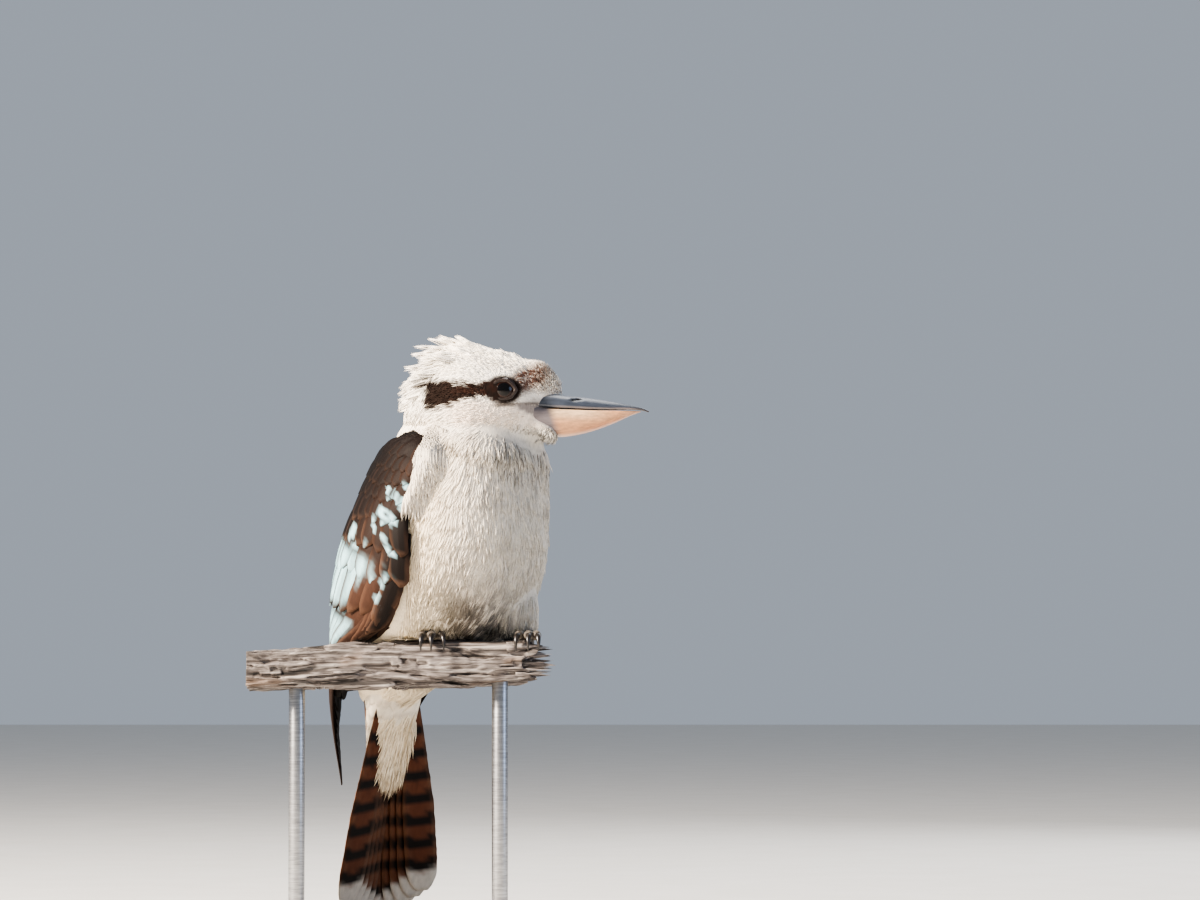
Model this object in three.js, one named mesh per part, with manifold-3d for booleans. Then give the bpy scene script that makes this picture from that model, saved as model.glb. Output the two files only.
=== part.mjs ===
// A life-size laughing kookaburra, perched on a cut length of weathered branch that a display stand holds.
// Millimetres, +Z up. +X runs along the branch to its broken end, and the bill points along +X.
// The origin is the middle of the base's underside.
import * as THREE from "three";
import { mergeVertices } from "three/addons/utils/BufferGeometryUtils.js";
import Module from "manifold-3d";

// Driving dimensions
const PERCH_TOP = 190; // height of the branch's top, which the feet stand on
const BRANCH_Y = [-30, 8]; // its front and back edges
const BRANCH_THICK = 25;
const BRANCH_CUT_X = -106; // the sawn end
const BRANCH_BROKEN_X = 50; // where the broken end starts to splinter
const GAP = 0.3; // between pieces that touch
const BODY_X = 8.4; // middle of the body over the perch
const BODY_TURN = THREE.MathUtils.degToRad(42 - 90); // the body faces 42 degrees off the front, towards +X
const LEAN = THREE.MathUtils.degToRad(20); // the trunk's lean from upright
const TRUNK_TOP = [20, 118]; // forward and up from the perch, where the trunk's axis starts
const HEAD_AT = [26.3, -15, 138.9]; // eye level in the middle of the head, from the perch's top
const WING_BED = 4.5; // how far the folded wings press into the flanks
const EYE_R = 8.5;
const EYE_AT = [8.4, 18.2, -0.9]; // in the head's frame
const TAIL_LONG = 146;
const CROWN_LOCK = 17; // length of the shaggy crown feathers
const FOOT_X = { right: -4, left: 50.5 };
const ANKLE_Y = -8;
const BASE = { x: -10, y: 13, wide: 210, deep: 140, thick: 14, corner: 18, bevel: 2 };
const ROD_R = 4.5;
const ROD_X = { left: -79, right: 34 };

const wasm = await Module();
wasm.setup();
const { PI, sin, cos, min, max, abs, sqrt, pow, sign, hypot, round } = Math;
const lerp = THREE.MathUtils.lerp;
const clamp = THREE.MathUtils.clamp;
const rad = THREE.MathUtils.degToRad;

// Seeded numbers from 0 to 1, the same on every run.
function draws(seed) {
  let state = seed;
  return () => {
    state = (state * 16807) % 2147483647;
    return state / 2147483647;
  };
}

// A smooth curve through rows of [place, value, value...], read at any place.
function track(rows) {
  return (place) => {
    const last = rows.length - 1;
    let i = 0;
    while (i < last - 1 && place > rows[i + 1][0]) i++;
    const a = rows[i];
    const b = rows[i + 1];
    const before = rows[max(i - 1, 0)];
    const after = rows[min(i + 2, last)];
    const step = b[0] - a[0];
    const u = clamp((place - a[0]) / step, 0, 1);
    const value = (k) => {
      const into = ((b[k] - before[k]) / (b[0] - before[0])) * step;
      const out = ((after[k] - a[k]) / (after[0] - a[0])) * step;
      const [u2, u3] = [u * u, u * u * u];
      return (
        (2 * u3 - 3 * u2 + 1) * a[k] + (u3 - 2 * u2 + u) * into + (3 * u2 - 2 * u3) * b[k] + (u3 - u2) * out
      );
    };
    return a.slice(1).map((_, k) => value(k + 1));
  };
}

// A geometry as a solid: equal corners merged, collapsed faces dropped, and faces turned outwards.
function solid(geometry) {
  const bare = new THREE.BufferGeometry().setAttribute("position", geometry.getAttribute("position"));
  bare.setIndex(geometry.getIndex());
  const merged = mergeVertices(bare, 1e-3);
  const at = merged.attributes.position.array;
  const corners = [...merged.index.array];
  const kept = [];
  let volume = 0;
  for (let i = 0; i < corners.length; i += 3) {
    const [a, b, c] = corners.slice(i, i + 3);
    if (a === b || b === c || a === c) continue;
    kept.push(a, b, c);
    const [p, q, r] = [a, b, c].map((n) => new THREE.Vector3().fromArray(at, n * 3));
    volume += p.dot(q.cross(r));
  }
  if (volume < 0) kept.reverse();
  const mesh = new wasm.Mesh({ numProp: 3, vertProperties: at, triVerts: new Uint32Array(kept) });
  return new wasm.Manifold(mesh);
}

function geometryOf(body) {
  const mesh = body.getMesh();
  const points = new Float32Array(mesh.numVert * 3);
  for (let i = 0; i < mesh.numVert; i++) {
    points.set(mesh.vertProperties.subarray(i * mesh.numProp, i * mesh.numProp + 3), i * 3);
  }
  const geometry = new THREE.BufferGeometry();
  geometry.setAttribute("position", new THREE.BufferAttribute(points, 3));
  geometry.setIndex(new THREE.BufferAttribute(mesh.triVerts, 1));
  geometry.computeVertexNormals();
  return geometry;
}

const joined = (bodies) => bodies.reduce((sum, body) => sum.add(body));
const without = (body, ...cuts) => cuts.reduce((rest, cut) => rest.subtract(cut), body);
const largest = (body) => body.decompose().reduce((a, b) => (b.volume() > a.volume() ? b : a));
const placed = (body, matrix) => body.transform(matrix.elements);

// A closed form whose skin is point(place, angle), with place from 0 to 1 between its two poles.
function roundForm(point, sides, rings) {
  const ball = new THREE.SphereGeometry(1, sides, rings);
  const at = ball.attributes.position;
  for (let i = 0; i < at.count; i++) {
    const ring = Math.floor(i / (sides + 1));
    const angle = ((i % (sides + 1)) % sides) * ((2 * PI) / sides);
    at.setXYZ(i, ...point(ring / rings, angle));
  }
  return solid(ball);
}

// A thin plate, split into triangles alike on both faces. point(u, v, face) has u from 0 to 1 along it
// and v from -1 to 1 across.
function plate(point, along, across) {
  const points = [];
  const faces = [];
  const number = (i, k, face) => (i * (across + 1) + k) * 2 + (face > 0 ? 0 : 1);
  for (let i = 0; i <= along; i++) {
    for (let k = 0; k <= across; k++) {
      for (const face of [1, -1]) points.push(...point(i / along, (2 * k) / across - 1, face));
    }
  }
  const quad = (a, b, c, d) => faces.push(a, b, c, a, c, d);
  for (let i = 0; i < along; i++) {
    for (let k = 0; k < across; k++) {
      const square = [[i, k], [i + 1, k], [i + 1, k + 1], [i, k + 1]];
      const [a, b, c, d] = square.map(([m, n]) => number(m, n, 1));
      const [e, f, g, h] = square.map(([m, n]) => number(m, n, -1));
      faces.push(a, b, c, a, c, d);
      faces.push(e, g, f, e, h, g);
    }
    quad(number(i, 0, 1), number(i, 0, -1), number(i + 1, 0, -1), number(i + 1, 0, 1));
    quad(number(i, across, -1), number(i, across, 1), number(i + 1, across, 1), number(i + 1, across, -1));
  }
  for (let k = 0; k < across; k++) {
    quad(number(0, k, -1), number(0, k, 1), number(0, k + 1, 1), number(0, k + 1, -1));
    quad(number(along, k, 1), number(along, k, -1), number(along, k + 1, -1), number(along, k + 1, 1));
  }
  const geometry = new THREE.BufferGeometry();
  geometry.setAttribute("position", new THREE.Float32BufferAttribute(points, 3));
  geometry.setIndex(faces);
  return solid(geometry);
}

// Frames: the bird's has x forward, y to its left, z up from the perch. The head's has x along the bill.
const birdFrame = new THREE.Matrix4()
  .makeTranslation(BODY_X, 0, PERCH_TOP)
  .multiply(new THREE.Matrix4().makeRotationZ(BODY_TURN));
const headFrame = new THREE.Matrix4().makeTranslation(HEAD_AT[0], HEAD_AT[1], PERCH_TOP + HEAD_AT[2]);
const inPart = (frame, point) => new THREE.Vector3(...point).applyMatrix4(frame).toArray();

// The trunk. Its axis runs down and back from TRUNK_TOP, and its sections lie square to it.
const DOWN = [-sin(LEAN), -cos(LEAN)]; // forward and up, along the trunk's axis
const BACK = [-cos(LEAN), sin(LEAN)]; // forward and up, out of the bird's back
const TRUNK_LONG = 180;
// how far down the axis, then half width, and how far the back and the breast stand off the axis
const trunkSize = track([
  [-22, 37, 33, 30],
  [0, 40, 41, 33],
  [15, 44, 42.5, 38],
  [30, 49, 44.5, 43.5],
  [50, 54, 47.5, 50],
  [72, 58, 50.5, 52],
  [92, 59, 51, 47.5],
  [110, 56.5, 49.5, 38.5],
  [125, 50, 47, 28],
  [138, 42, 45, 17],
  [152, 32, 42, 5],
  [165, 23, 38, -8],
  [180, 15, 34, -16],
]);

function onTrunk(down, angle, halfWide, back, breast) {
  const away = (back - breast) / 2 + (cos(angle) * (back + breast)) / 2;
  return [
    TRUNK_TOP[0] + DOWN[0] * down + BACK[0] * away,
    -sin(angle) * halfWide,
    TRUNK_TOP[1] + DOWN[1] * down + BACK[1] * away,
  ];
}

// How far the folded wing presses into the flank, down the axis and round it.
function wingBed(down, angle) {
  const [backEdge, frontEdge] = wingReach(clamp(down, 12, 150));
  const degrees = THREE.MathUtils.radToDeg(angle > PI ? 2 * PI - angle : angle);
  const across = clamp((degrees - backEdge) / 12, 0, 1) * clamp((frontEdge - 4 - degrees) / 10, 0, 1);
  return WING_BED * across * clamp((down - 4) / 12, 0, 1) * clamp((165 - down) / 20, 0, 1);
}

// The trunk's skin, from a rounded top inside the head to a rounded end inside the tail's root.
function trunkForm(grow) {
  const point = (place, angle) => {
    const down = -22 + (TRUNK_LONG + 22) * place;
    const close = min(1, sqrt(max(0, place / 0.12)), sqrt(max(0, (1 - place) / 0.05)));
    const [wide, back, breast] = trunkSize(down).map((r) => r + grow - wingBed(down, angle));
    const middle = (back - breast) / 2;
    const deep = ((back + breast) / 2) * close;
    return inPart(birdFrame, onTrunk(down, angle, wide * close, middle + deep, deep - middle));
  };
  return roundForm(point, 26, 14);
}

// The head, from nape to bill, as a round form with half width, height over and depth under its middle line.
const HEAD_MID = -0.5;
const HEAD_HALF = 44.5;
// place along the head, then middle line, half width, over, under: each before the ends round off
const headSize = track([
  [-45, -12, 37, 27, 28],
  [-39, -9, 37.5, 25.5, 32],
  [-31, -6, 37, 28, 32],
  [-17, -4.5, 33.5, 31.6, 30],
  [0, -4, 29, 26.6, 28.5],
  [13, -4.5, 25, 24.4, 28],
  [24, -6, 20.6, 26.4, 28.4],
  [32.5, -6.5, 17.6, 29.5, 32.5],
  [39, -7, 16.6, 31.5, 38],
  [44, -8, 18, 33.6, 45],
]);
const HEAD_BOX = 0.86; // below 1 the head's sections are boxier than an ellipse

function onHead(place, angle, grow) {
  const x = HEAD_MID - (HEAD_HALF + grow) * cos(PI * place);
  const [middle, wide, over, under] = headSize(x);
  const close = pow(sin(PI * place), 0.94);
  const [c, s] = [cos(angle), sin(angle)];
  const tall = s > 0 ? over : under;
  return [
    x,
    (wide * close + grow) * sign(c) * pow(abs(c), HEAD_BOX),
    middle + (tall * close + grow) * sign(s) * pow(abs(s), HEAD_BOX),
  ];
}

function headForm(grow) {
  const point = (place, angle) => {
    const atPole = place === 0 || place === 1;
    return inPart(headFrame, onHead(place, angle, atPole ? 0 : grow));
  };
  return roundForm(point, 22, 14);
}

// A shaggy crown feather: a flat tapered lock, rooted in the head and swept up and back.
function crownLock(place, angle, long, rise, wide) {
  const root = new THREE.Vector3(...onHead(place, angle, -2.5));
  const out = new THREE.Vector3(...onHead(place, angle, 2)).sub(root).normalize();
  const ahead = new THREE.Vector3(...onHead(max(place - 0.05, 0.01), angle, 0));
  const lie = ahead.sub(new THREE.Vector3(...onHead(place, angle, 0))).normalize();
  const side = new THREE.Vector3().crossVectors(out, lie).normalize();
  const point = (u, v, face) => {
    const lift = 1.2 + long * (sin(rise) * u - 0.14 * u * u);
    const width = wide * (0.75 + 0.5 * u) * pow(1 - u, 0.55) + 0.1;
    const thick = lerp(0.55, 0.28, u);
    const at = root.clone().addScaledVector(lie, long * cos(rise) * u);
    at.addScaledVector(out, lift + face * thick);
    return inPart(headFrame, at.addScaledVector(side, v * width).toArray());
  };
  return plate(point, 3, 1);
}

// Rows of crown feathers: place along the head, angles to the first and the last, and each one's length,
// rise and half width.
function crownLocks() {
  const draw = draws(7);
  const locks = [];
  const rows = [
    { place: 0.76, from: 56, to: 124, count: 3, long: 0.56, rise: 15, wide: 3.6 },
    { place: 0.65, from: 44, to: 136, count: 4, long: 0.7, rise: 17, wide: 3.8 },
    { place: 0.54, from: 40, to: 140, count: 5, long: 0.92, rise: 25, wide: 3.8 },
    { place: 0.43, from: 34, to: 146, count: 6, long: 1.08, rise: 31, wide: 3.7 },
    { place: 0.325, from: 29, to: 151, count: 7, long: 1.05, rise: 29, wide: 3.6 },
    { place: 0.23, from: 20, to: 160, count: 6, long: 0.98, rise: 28, wide: 3.5 },
    { place: 0.14, from: 8, to: 172, count: 6, long: 0.8, rise: 22, wide: 3.3 },
  ];
  for (const row of rows) {
    for (let i = 0; i < row.count; i++) {
      const angle = rad(lerp(row.from, row.to, i / (row.count - 1)) + 5 * (draw() - 0.5));
      const long = CROWN_LOCK * row.long * (0.85 + 0.3 * draw());
      const place = row.place + 0.02 * (draw() - 0.5);
      const rise = rad(row.rise + 8 * (draw() - 0.5));
      locks.push(crownLock(place, angle, long, rise, row.wide));
    }
  }
  return locks;
}

// The bill: place along the head, then the height of its ridge or keel, mouth line, half width.
const upperBill = track([
  [24, -0.5, -9.6, 15.8],
  [30, -0.8, -10.1, 15],
  [44, -2.8, -10.6, 12.8],
  [57, -4.2, -11, 10],
  [70, -6.2, -11.1, 7],
  [80, -8.2, -11, 4.2],
  [87, -9.9, -11.6, 1.7],
  [90.5, -11.4, -12.6, 0.5],
]);
const lowerBill = track([
  [24, -24.5, -10, 14.6],
  [30, -25, -10.3, 14.2],
  [42, -25.9, -10.8, 12.6],
  [57, -23.2, -11.2, 9.7],
  [70, -18.6, -11.3, 6.7],
  [80, -14.2, -11.2, 3.7],
  [86, -12, -11.3, 1.2],
]);
const MOUTH = 0.35; // half the gap of the mouth line
const BILL_ROOT = 24; // along the head, inside the face
const UPPER_TIP = 90.5;
const LOWER_TIP = 86;

function billHalf(size, from, to, upper, grow) {
  const point = (place, angle) => {
    const inner = clamp((place - 0.04) / 0.92, 0, 1);
    const x = lerp(from - grow, to + grow, inner);
    const [outer, mouth, wide] = size(clamp(x, from, to));
    const close = place === 0 || place === 1 ? 0 : 1;
    const [c, s] = [cos(angle), sin(angle)];
    const domed = upper ? s >= 0 : s <= 0;
    const edge = mouth + (upper ? MOUTH : -MOUTH);
    const tall = abs(outer - edge);
    const height = domed ? tall * pow(abs(s), 0.8) : 0;
    const width = wide * sign(c) * pow(abs(c), domed ? 0.72 : 0.9);
    const out = upper ? 1 : -1;
    const swell = domed ? grow * abs(s) * out : -grow * abs(s) * out;
    const z = edge + out * height + swell;
    const middle = edge + (out * tall) / 3;
    return inPart(headFrame, [x, (width + grow * sign(c) * abs(c)) * close, lerp(middle, z, close)]);
  };
  return roundForm(point, 12, 9);
}

function upperBillForm(grow) {
  return billHalf(upperBill, BILL_ROOT, UPPER_TIP, true, grow);
}

function lowerBillForm(grow) {
  return billHalf(lowerBill, BILL_ROOT, LOWER_TIP, false, grow);
}

// A slit nostril on each side, just ahead of the forehead's feathers.
function nostrils() {
  return [1, -1].map((side) => {
    const slit = new THREE.SphereGeometry(1, 8, 6).scale(3.4, 1.6, 0.7).rotateY(rad(6));
    slit.translate(50, side * 8.6, -5.7);
    return placed(solid(slit), headFrame);
  });
}

function eyeBall(side, grow) {
  const ball = new THREE.SphereGeometry(EYE_R + grow, 14, 8).rotateX(PI / 2);
  ball.translate(EYE_AT[0], side * EYE_AT[1], EYE_AT[2]);
  return placed(solid(ball), headFrame);
}

// The bare rim of the lids round each eye.
function lids(side) {
  const rim = new THREE.TorusGeometry(6.6, 1.15, 5, 12).rotateX(PI / 2).scale(1, 1, 0.8);
  rim.rotateZ(-side * rad(8));
  rim.translate(EYE_AT[0], side * 25.2, EYE_AT[2]);
  return placed(solid(rim), headFrame);
}

// The gape: the mouth line carried back under the eye as a shallow groove.
function gape() {
  const blade = new THREE.BoxGeometry(30, 70, 0.9).rotateY(rad(-5)).translate(20.2, 0, -8.4);
  return placed(solid(blade), headFrame).subtract(headForm(-1.5));
}

// Slabs that part the head from the neck and the neck from the trunk.
function knife(x, z, tilt, frame) {
  const slab = new THREE.BoxGeometry(300, 300, GAP).rotateY(tilt).translate(x, 0, z);
  return placed(solid(slab), frame);
}
const HEAD_CUT = { x: 0, z: -25, tilt: rad(10) }; // in the head's frame
const NECK_CUT = { down: 20, tilt: rad(13) };

// The pieces that a cut leaves, the largest first.
function piecesOf(body, cutter) {
  const pieces = without(body, cutter).decompose();
  return pieces.sort((a, b) => b.volume() - a.volume());
}

// The wings: a skin round the trunk that carries on past it.
// Down the axis, then half width and how far the back stands off the axis.
const wingSkin = track([
  [2, 42, 43],
  [12, 46.5, 44.5],
  [24, 50.5, 46],
  [38, 54.5, 48],
  [52, 58, 50.5],
  [70, 60.8, 53],
  [87, 61.5, 54],
  [108, 59.5, 52.5],
  [123, 55.5, 51.5],
  [137, 50, 49.5],
  [165, 39.5, 44],
  [190, 30, 38],
  [215, 21.5, 31],
  [232, 17, 27],
]);
// How far the wing's skin would stand off the axis on the breast side.
const wingFront = track([
  [4, 38],
  [34, 47],
  [70, 53],
  [110, 42],
  [137, 20],
  [165, -8],
  [200, -20],
  [232, -16],
]);
// Down the axis, then the angles from the middle of the back to the wing's back edge and its front edge.
const wingReach = track([
  [0, 94, 104],
  [6, 76, 113],
  [13, 58, 113],
  [21, 46, 111],
  [30, 39, 109],
  [45, 30, 109],
  [72, 22, 118],
  [100, 16, 125],
  [118, 13, 122],
  [130, 12, 112],
  [142, 12, 101],
  [160, 14, 97],
  [190, 22, 90],
  [215, 34, 78],
  [232, 44, 66],
]);
const LEFT_TUCK = 12; // degrees of the left wing's front edge that the breast feathers cover

function wingEdges(down, side) {
  const [backEdge, frontEdge] = wingReach(down);
  return [backEdge, frontEdge - (side > 0 ? LEFT_TUCK : 0)];
}

// side is -1 for the right wing and 1 for the left.
function onWing(side, down, degrees, lift) {
  const [wide, back] = wingSkin(down).map((r) => r + lift);
  return onTrunk(down, -side * rad(degrees), wide, back, wingFront(down)[0] + lift);
}

// A wing feather from [down, degrees] at its root to the same at its tip.
function wingFeather(side, root, tip, { wide, lifts, along }) {
  const point = (u, v, face) => {
    const down = lerp(root[0], tip[0], u);
    const around = lerp(root[1], tip[1], u);
    const [halfWide, back] = wingSkin(down);
    const degreesPerMm = 180 / PI / sqrt(halfWide * back);
    const roundTip = sqrt(max(1 - pow((u - 0.75) / 0.27, 2), 0.02));
    const shape = u < 0.75 ? lerp(0.62, 1, min(u / 0.4, 1)) : roundTip;
    const bow = 1 - v * v;
    const thick = lerp(0.45, 0.3, u);
    const lift = lerp(lifts[1], lifts[0], pow(1 - u, 4)) - 0.8 * v + 0.3 * bow + face * thick;
    const blunt = down - (u > 0.9 ? 2.2 * v * v : 0);
    return inPart(birdFrame, onWing(side, blunt, around + v * shape * wide * degreesPerMm, lift));
  };
  return plate(point, along, 1);
}

// Rows of wing feathers, from the lowest layer to the highest. The first and the last feather of a row
// each have a root and a tip as [down the axis, share of the wing's reach], and the rest lie between.
const WING_ROWS = [
  { name: "primaries", count: 5, along: 4, wide: 8.4, lifts: [-5, -1.3],
    first: [[112, 0.96], [222, 0.62]], last: [[124, 0.5], [182, 0.3]] },
  { name: "secondaries", count: 5, along: 4, wide: 9.4, lifts: [-5, -0.3],
    first: [[92, 0.92], [152, 0.83]], last: [[92, 0.2], [176, 0.14]] },
  { name: "primary coverts", count: 2, along: 3, wide: 6.6, lifts: [-5, 0.6],
    first: [[70, 0.97], [108, 0.96]], last: [[88, 0.88], [130, 0.9]] },
  { name: "greater coverts", count: 5, along: 3, wide: 10, lifts: [-4, 0.9],
    first: [[70, 0.88], [108, 0.82]], last: [[74, 0.16], [120, 0.12]] },
  { name: "median coverts", count: 5, along: 3, wide: 10.4, lifts: [-3.6, 1.6],
    first: [[46, 0.91], [78, 0.87]], last: [[50, 0.16], [88, 0.12]] },
  { name: "lesser coverts", count: 4, along: 3, wide: 11.4, lifts: [-3.6, 2],
    first: [[20, 0.85], [54, 0.85]], last: [[28, 0.22], [62, 0.15]] },
];

function wingFeathers(side) {
  const draw = draws(11);
  const feathers = [];
  for (const row of WING_ROWS) {
    for (let i = 0; i < row.count; i++) {
      const share = i / (row.count - 1);
      const ends = [0, 1].map((end) => {
        const down = lerp(row.first[end][0], row.last[end][0], share) + 2 * (draw() - 0.5);
        return [down, lerp(...wingEdges(down, side), lerp(row.first[end][1], row.last[end][1], share))];
      });
      feathers.push(wingFeather(side, ends[0], ends[1], row));
    }
  }
  return feathers;
}

// The wing's plain body, from the shoulder to where the flight feathers carry on alone. Its inner face
// keeps just off the flank, then follows the wing's own skin.
function wingCore(side) {
  const point = (u, v, face) => {
    const down = lerp(4, 172, u);
    const degrees = lerp(...wingEdges(down, side), (v + 1) / 2);
    const outer = lerp(-4.2, -2.4, 1 - pow(abs(v), 4));
    const skin = new THREE.Vector3(...onWing(side, down, degrees, face > 0 ? outer : outer - 0.9));
    if (face > 0) return inPart(birdFrame, skin.toArray());
    const axis = new THREE.Vector3(...onTrunk(down, 0, 0, 0, 0));
    const bed = wingBed(down, rad(degrees)) - 1.4;
    const flankSize = trunkSize(down).map((r) => r - bed);
    const flank = new THREE.Vector3(...onTrunk(down, -side * rad(degrees), ...flankSize));
    const hug = 1 - THREE.MathUtils.smoothstep(down, 105, 150);
    if (flank.distanceTo(axis) < skin.distanceTo(axis)) skin.lerp(flank, hug);
    return inPart(birdFrame, skin.toArray());
  };
  return plate(point, 12, 5);
}

// The room that the top of the wing takes, which the crown's locks keep out of.
function shoulderRoom(side) {
  const point = (u, v, face) => {
    const down = lerp(-4, 60, u);
    const degrees = lerp(...wingEdges(max(down, 0), side), (v + 1) / 2) + 3 * v;
    return inPart(birdFrame, onWing(side, down, degrees, face > 0 ? 3.4 : -16));
  };
  return plate(point, 6, 4);
}

// The tail: a covert-clad root, and twelve feathers laid over each other from the middle pair outwards.
const TAIL_FROM = 158; // down the trunk's axis
const TAIL_TURN = rad(-7); // hangs a little steeper than the trunk
const TAIL_SWING = rad(6); // towards the bird's left
const TAIL_MIDDLE = 20; // how far the tail's root stands off the axis, to the back
const tailAt = onTrunk(TAIL_FROM, 0, 0, TAIL_MIDDLE, -TAIL_MIDDLE);
const tailFrame = birdFrame
  .clone()
  .multiply(new THREE.Matrix4().makeTranslation(...tailAt))
  .multiply(new THREE.Matrix4().makeRotationX(TAIL_SWING))
  .multiply(new THREE.Matrix4().makeRotationY(LEAN + TAIL_TURN));

// In the tail's frame x is forward, out of its underside, and the tail runs down -z.
function tailRoot(grow) {
  const size = track([
    [0, 19.2, 16.2, 12.2],
    [14, 17.5, 11.5, 8],
    [30, 16.5, 6.5, 4.6],
    [48, 15.5, 4.2, 3],
    [60, 14, 3.4, 2.4],
  ]);
  const point = (place, angle) => {
    const down = -4 + 62 * place;
    const close = min(1, sqrt(place / 0.03), sqrt(max(0, (1 - place) / 0.12)));
    const [wide, back, under] = size(max(down, 0)).map((r) => (r + grow) * close);
    const away = cos(angle) > 0 ? -back * cos(angle) : -under * cos(angle);
    return inPart(tailFrame, [away, sin(angle) * wide, -down]);
  };
  return roundForm(point, 18, 9);
}

// The room that the tail's feathers take, which the wings keep out of.
function tailSheath() {
  const point = (u, v, face) => {
    const run = 8 + (TAIL_LONG - 8) * u;
    const y = v * (12 + 0.17 * run);
    const x = 0.0028 * y * y - 0.0001 * run * run - face * 5.4;
    return inPart(tailFrame, [x, y, -run]);
  };
  return plate(point, 5, 4);
}

function tailFeather(side, rank) {
  const long = TAIL_LONG - 1.5 - 3.6 * rank;
  const spread = side * rad(0.8 + 1.6 * rank);
  const rootOut = side * (1 + 1.6 * rank);
  const layer = 2.4 - 1.12 * rank - (side < 0 ? 0.56 : 0);
  const point = (u, v, face) => {
    const run = 8 + (long - 8) * u;
    const roundTip = u > 0.85 ? sqrt(max(1 - pow((u - 0.85) / 0.16, 2), 0.03)) : 1;
    const wide = 11 * lerp(0.4, 1, min(u / 0.55, 1)) * roundTip;
    const thick = 0.26 + 0.1 * (1 - v * v);
    const y = rootOut + sin(spread) * run + v * wide;
    const x = -layer + 0.0028 * y * y - 0.0001 * run * run - face * thick;
    return inPart(tailFrame, [x, y, -run]);
  };
  return plate(point, 4, 2);
}

// Legs: a short tarsus and four toes, with the front toes over the branch's front edge.
// Each toe's turn from straight ahead, and its reach and thickness against the middle toe's.
const TOES = [
  { name: "inner", turn: 17, reach: 0.86, thick: 0.9 },
  { name: "middle", turn: 1, reach: 1, thick: 1 },
  { name: "outer", turn: -11, reach: 0.97, thick: 0.95 },
  { name: "hind", turn: 180, reach: 0.56, thick: 0.95 },
];
const TOE_R = 2.5;

function sweptTube(points, radii, frame, sides, rings) {
  const curve = new THREE.CatmullRomCurve3(points.map(([x, z]) => new THREE.Vector3(x, 0, z)));
  const radius = track(radii);
  const point = (place, angle) => {
    const inner = clamp((place - 0.03) / 0.94, 0, 1);
    const at = curve.getPoint(inner);
    const along = curve.getTangent(inner);
    const across = new THREE.Vector3(-along.z, 0, along.x);
    const close = place === 0 || place === 1 ? 0 : 1;
    const r = radius(inner)[0] * close;
    at.addScaledVector(across, sin(angle) * r).add(new THREE.Vector3(0, cos(angle) * r, 0));
    return inPart(frame, at.toArray());
  };
  return roundForm(point, sides, rings);
}

// The frame of a toe: x along it, from the ankle. The front of the branch is -Y.
function toeFrame(foot, toe) {
  return new THREE.Matrix4()
    .makeTranslation(FOOT_X[foot], ANKLE_Y, PERCH_TOP)
    .multiply(new THREE.Matrix4().makeRotationZ(rad(-90 + (foot === "left" ? -toe.turn : toe.turn))));
}

const FRONT_EDGE = ANKLE_Y - BRANCH_Y[0];

function toeForm(foot, toe, grow) {
  const hind = toe.turn === 180;
  const reach = FRONT_EDGE * toe.reach;
  const path = hind
    ? [[0, 4.4], [reach * 0.5, 1], [reach, -2.2]]
    : [[0, 4.4], [reach * 0.35, 2.2], [reach * 0.75, 2.2], [reach + 0.4, 3], [reach + 3.2, 1.6]];
  const r = (share) => TOE_R * toe.thick * share + grow;
  const radii = [[0, r(1.05)], [0.35, r(0.86)], [0.6, r(1)], [0.85, r(0.92)], [1, r(0.72)]];
  return sweptTube(path, radii, toeFrame(foot, toe), 6, 5);
}

function clawForm(foot, toe, grow) {
  const hind = toe.turn === 180;
  const reach = FRONT_EDGE * toe.reach;
  const path = hind
    ? [[reach - 1.5, -1.4], [reach + 2.5, -2], [reach + 6, -4.6], [reach + 7.6, -7]]
    : [[reach + 1.6, 2.7], [reach + 4.6, 1.9], [reach + 6.4, -1.8], [reach + 6, -6.4]];
  const radii = [[0, 1.35 + grow], [0.4, 1.15 + grow], [0.8, 0.6 + grow], [1, 0.22 + grow]];
  return sweptTube(path, radii, toeFrame(foot, toe), 6, 6);
}

function tarsusForm(foot, grow) {
  const tarsus = new THREE.CylinderGeometry(3.1 + grow, 3.3 + grow, 22 + grow, 10).rotateX(PI / 2);
  tarsus.rotateX(rad(-8)).translate(FOOT_X[foot], ANKLE_Y + 1, PERCH_TOP + 3 + 11);
  return solid(tarsus);
}

const legForm = (foot, grow) =>
  joined([tarsusForm(foot, grow), ...TOES.map((toe) => toeForm(foot, toe, grow))]);

// The feathered thighs, which swell the belly down to each foot.
const THIGHS = [
  { top: [2, -4, 40], low: [FOOT_X.right - 1, ANKLE_Y - 3, 2], wide: [17, 12] },
  { top: [33, 7, 46], low: [FOOT_X.left - 6, ANKLE_Y + 2, 2], wide: [22, 12] },
];

function thighForm({ top, low, wide }) {
  const [from, to] = [new THREE.Vector3(...top), new THREE.Vector3(...low)];
  const point = (place, angle) => {
    const at = from.clone().lerp(to, place);
    const r = lerp(...wide, place) * pow(max(0, 1 - pow(abs(2 * place - 1), 4)), 0.5);
    return [at.x + cos(angle) * r, at.y + sin(angle) * r, PERCH_TOP + at.z];
  };
  return roundForm(point, 12, 7);
}

// The branch: a weathered slab, ridged along its grain, whose top falls away behind the feet.
const BRANCH_MIDDLE = (BRANCH_Y[0] + BRANCH_Y[1]) / 2;
const BRANCH_HALF = (BRANCH_Y[1] - BRANCH_Y[0]) / 2;
const BRANCH_FALL = 9; // how much lower the top's back edge is
// worn out of the back edge, where the wing hangs past it
const HOLLOW = { from: -72, to: -16, slope: 14, deep: 20 };

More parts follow.
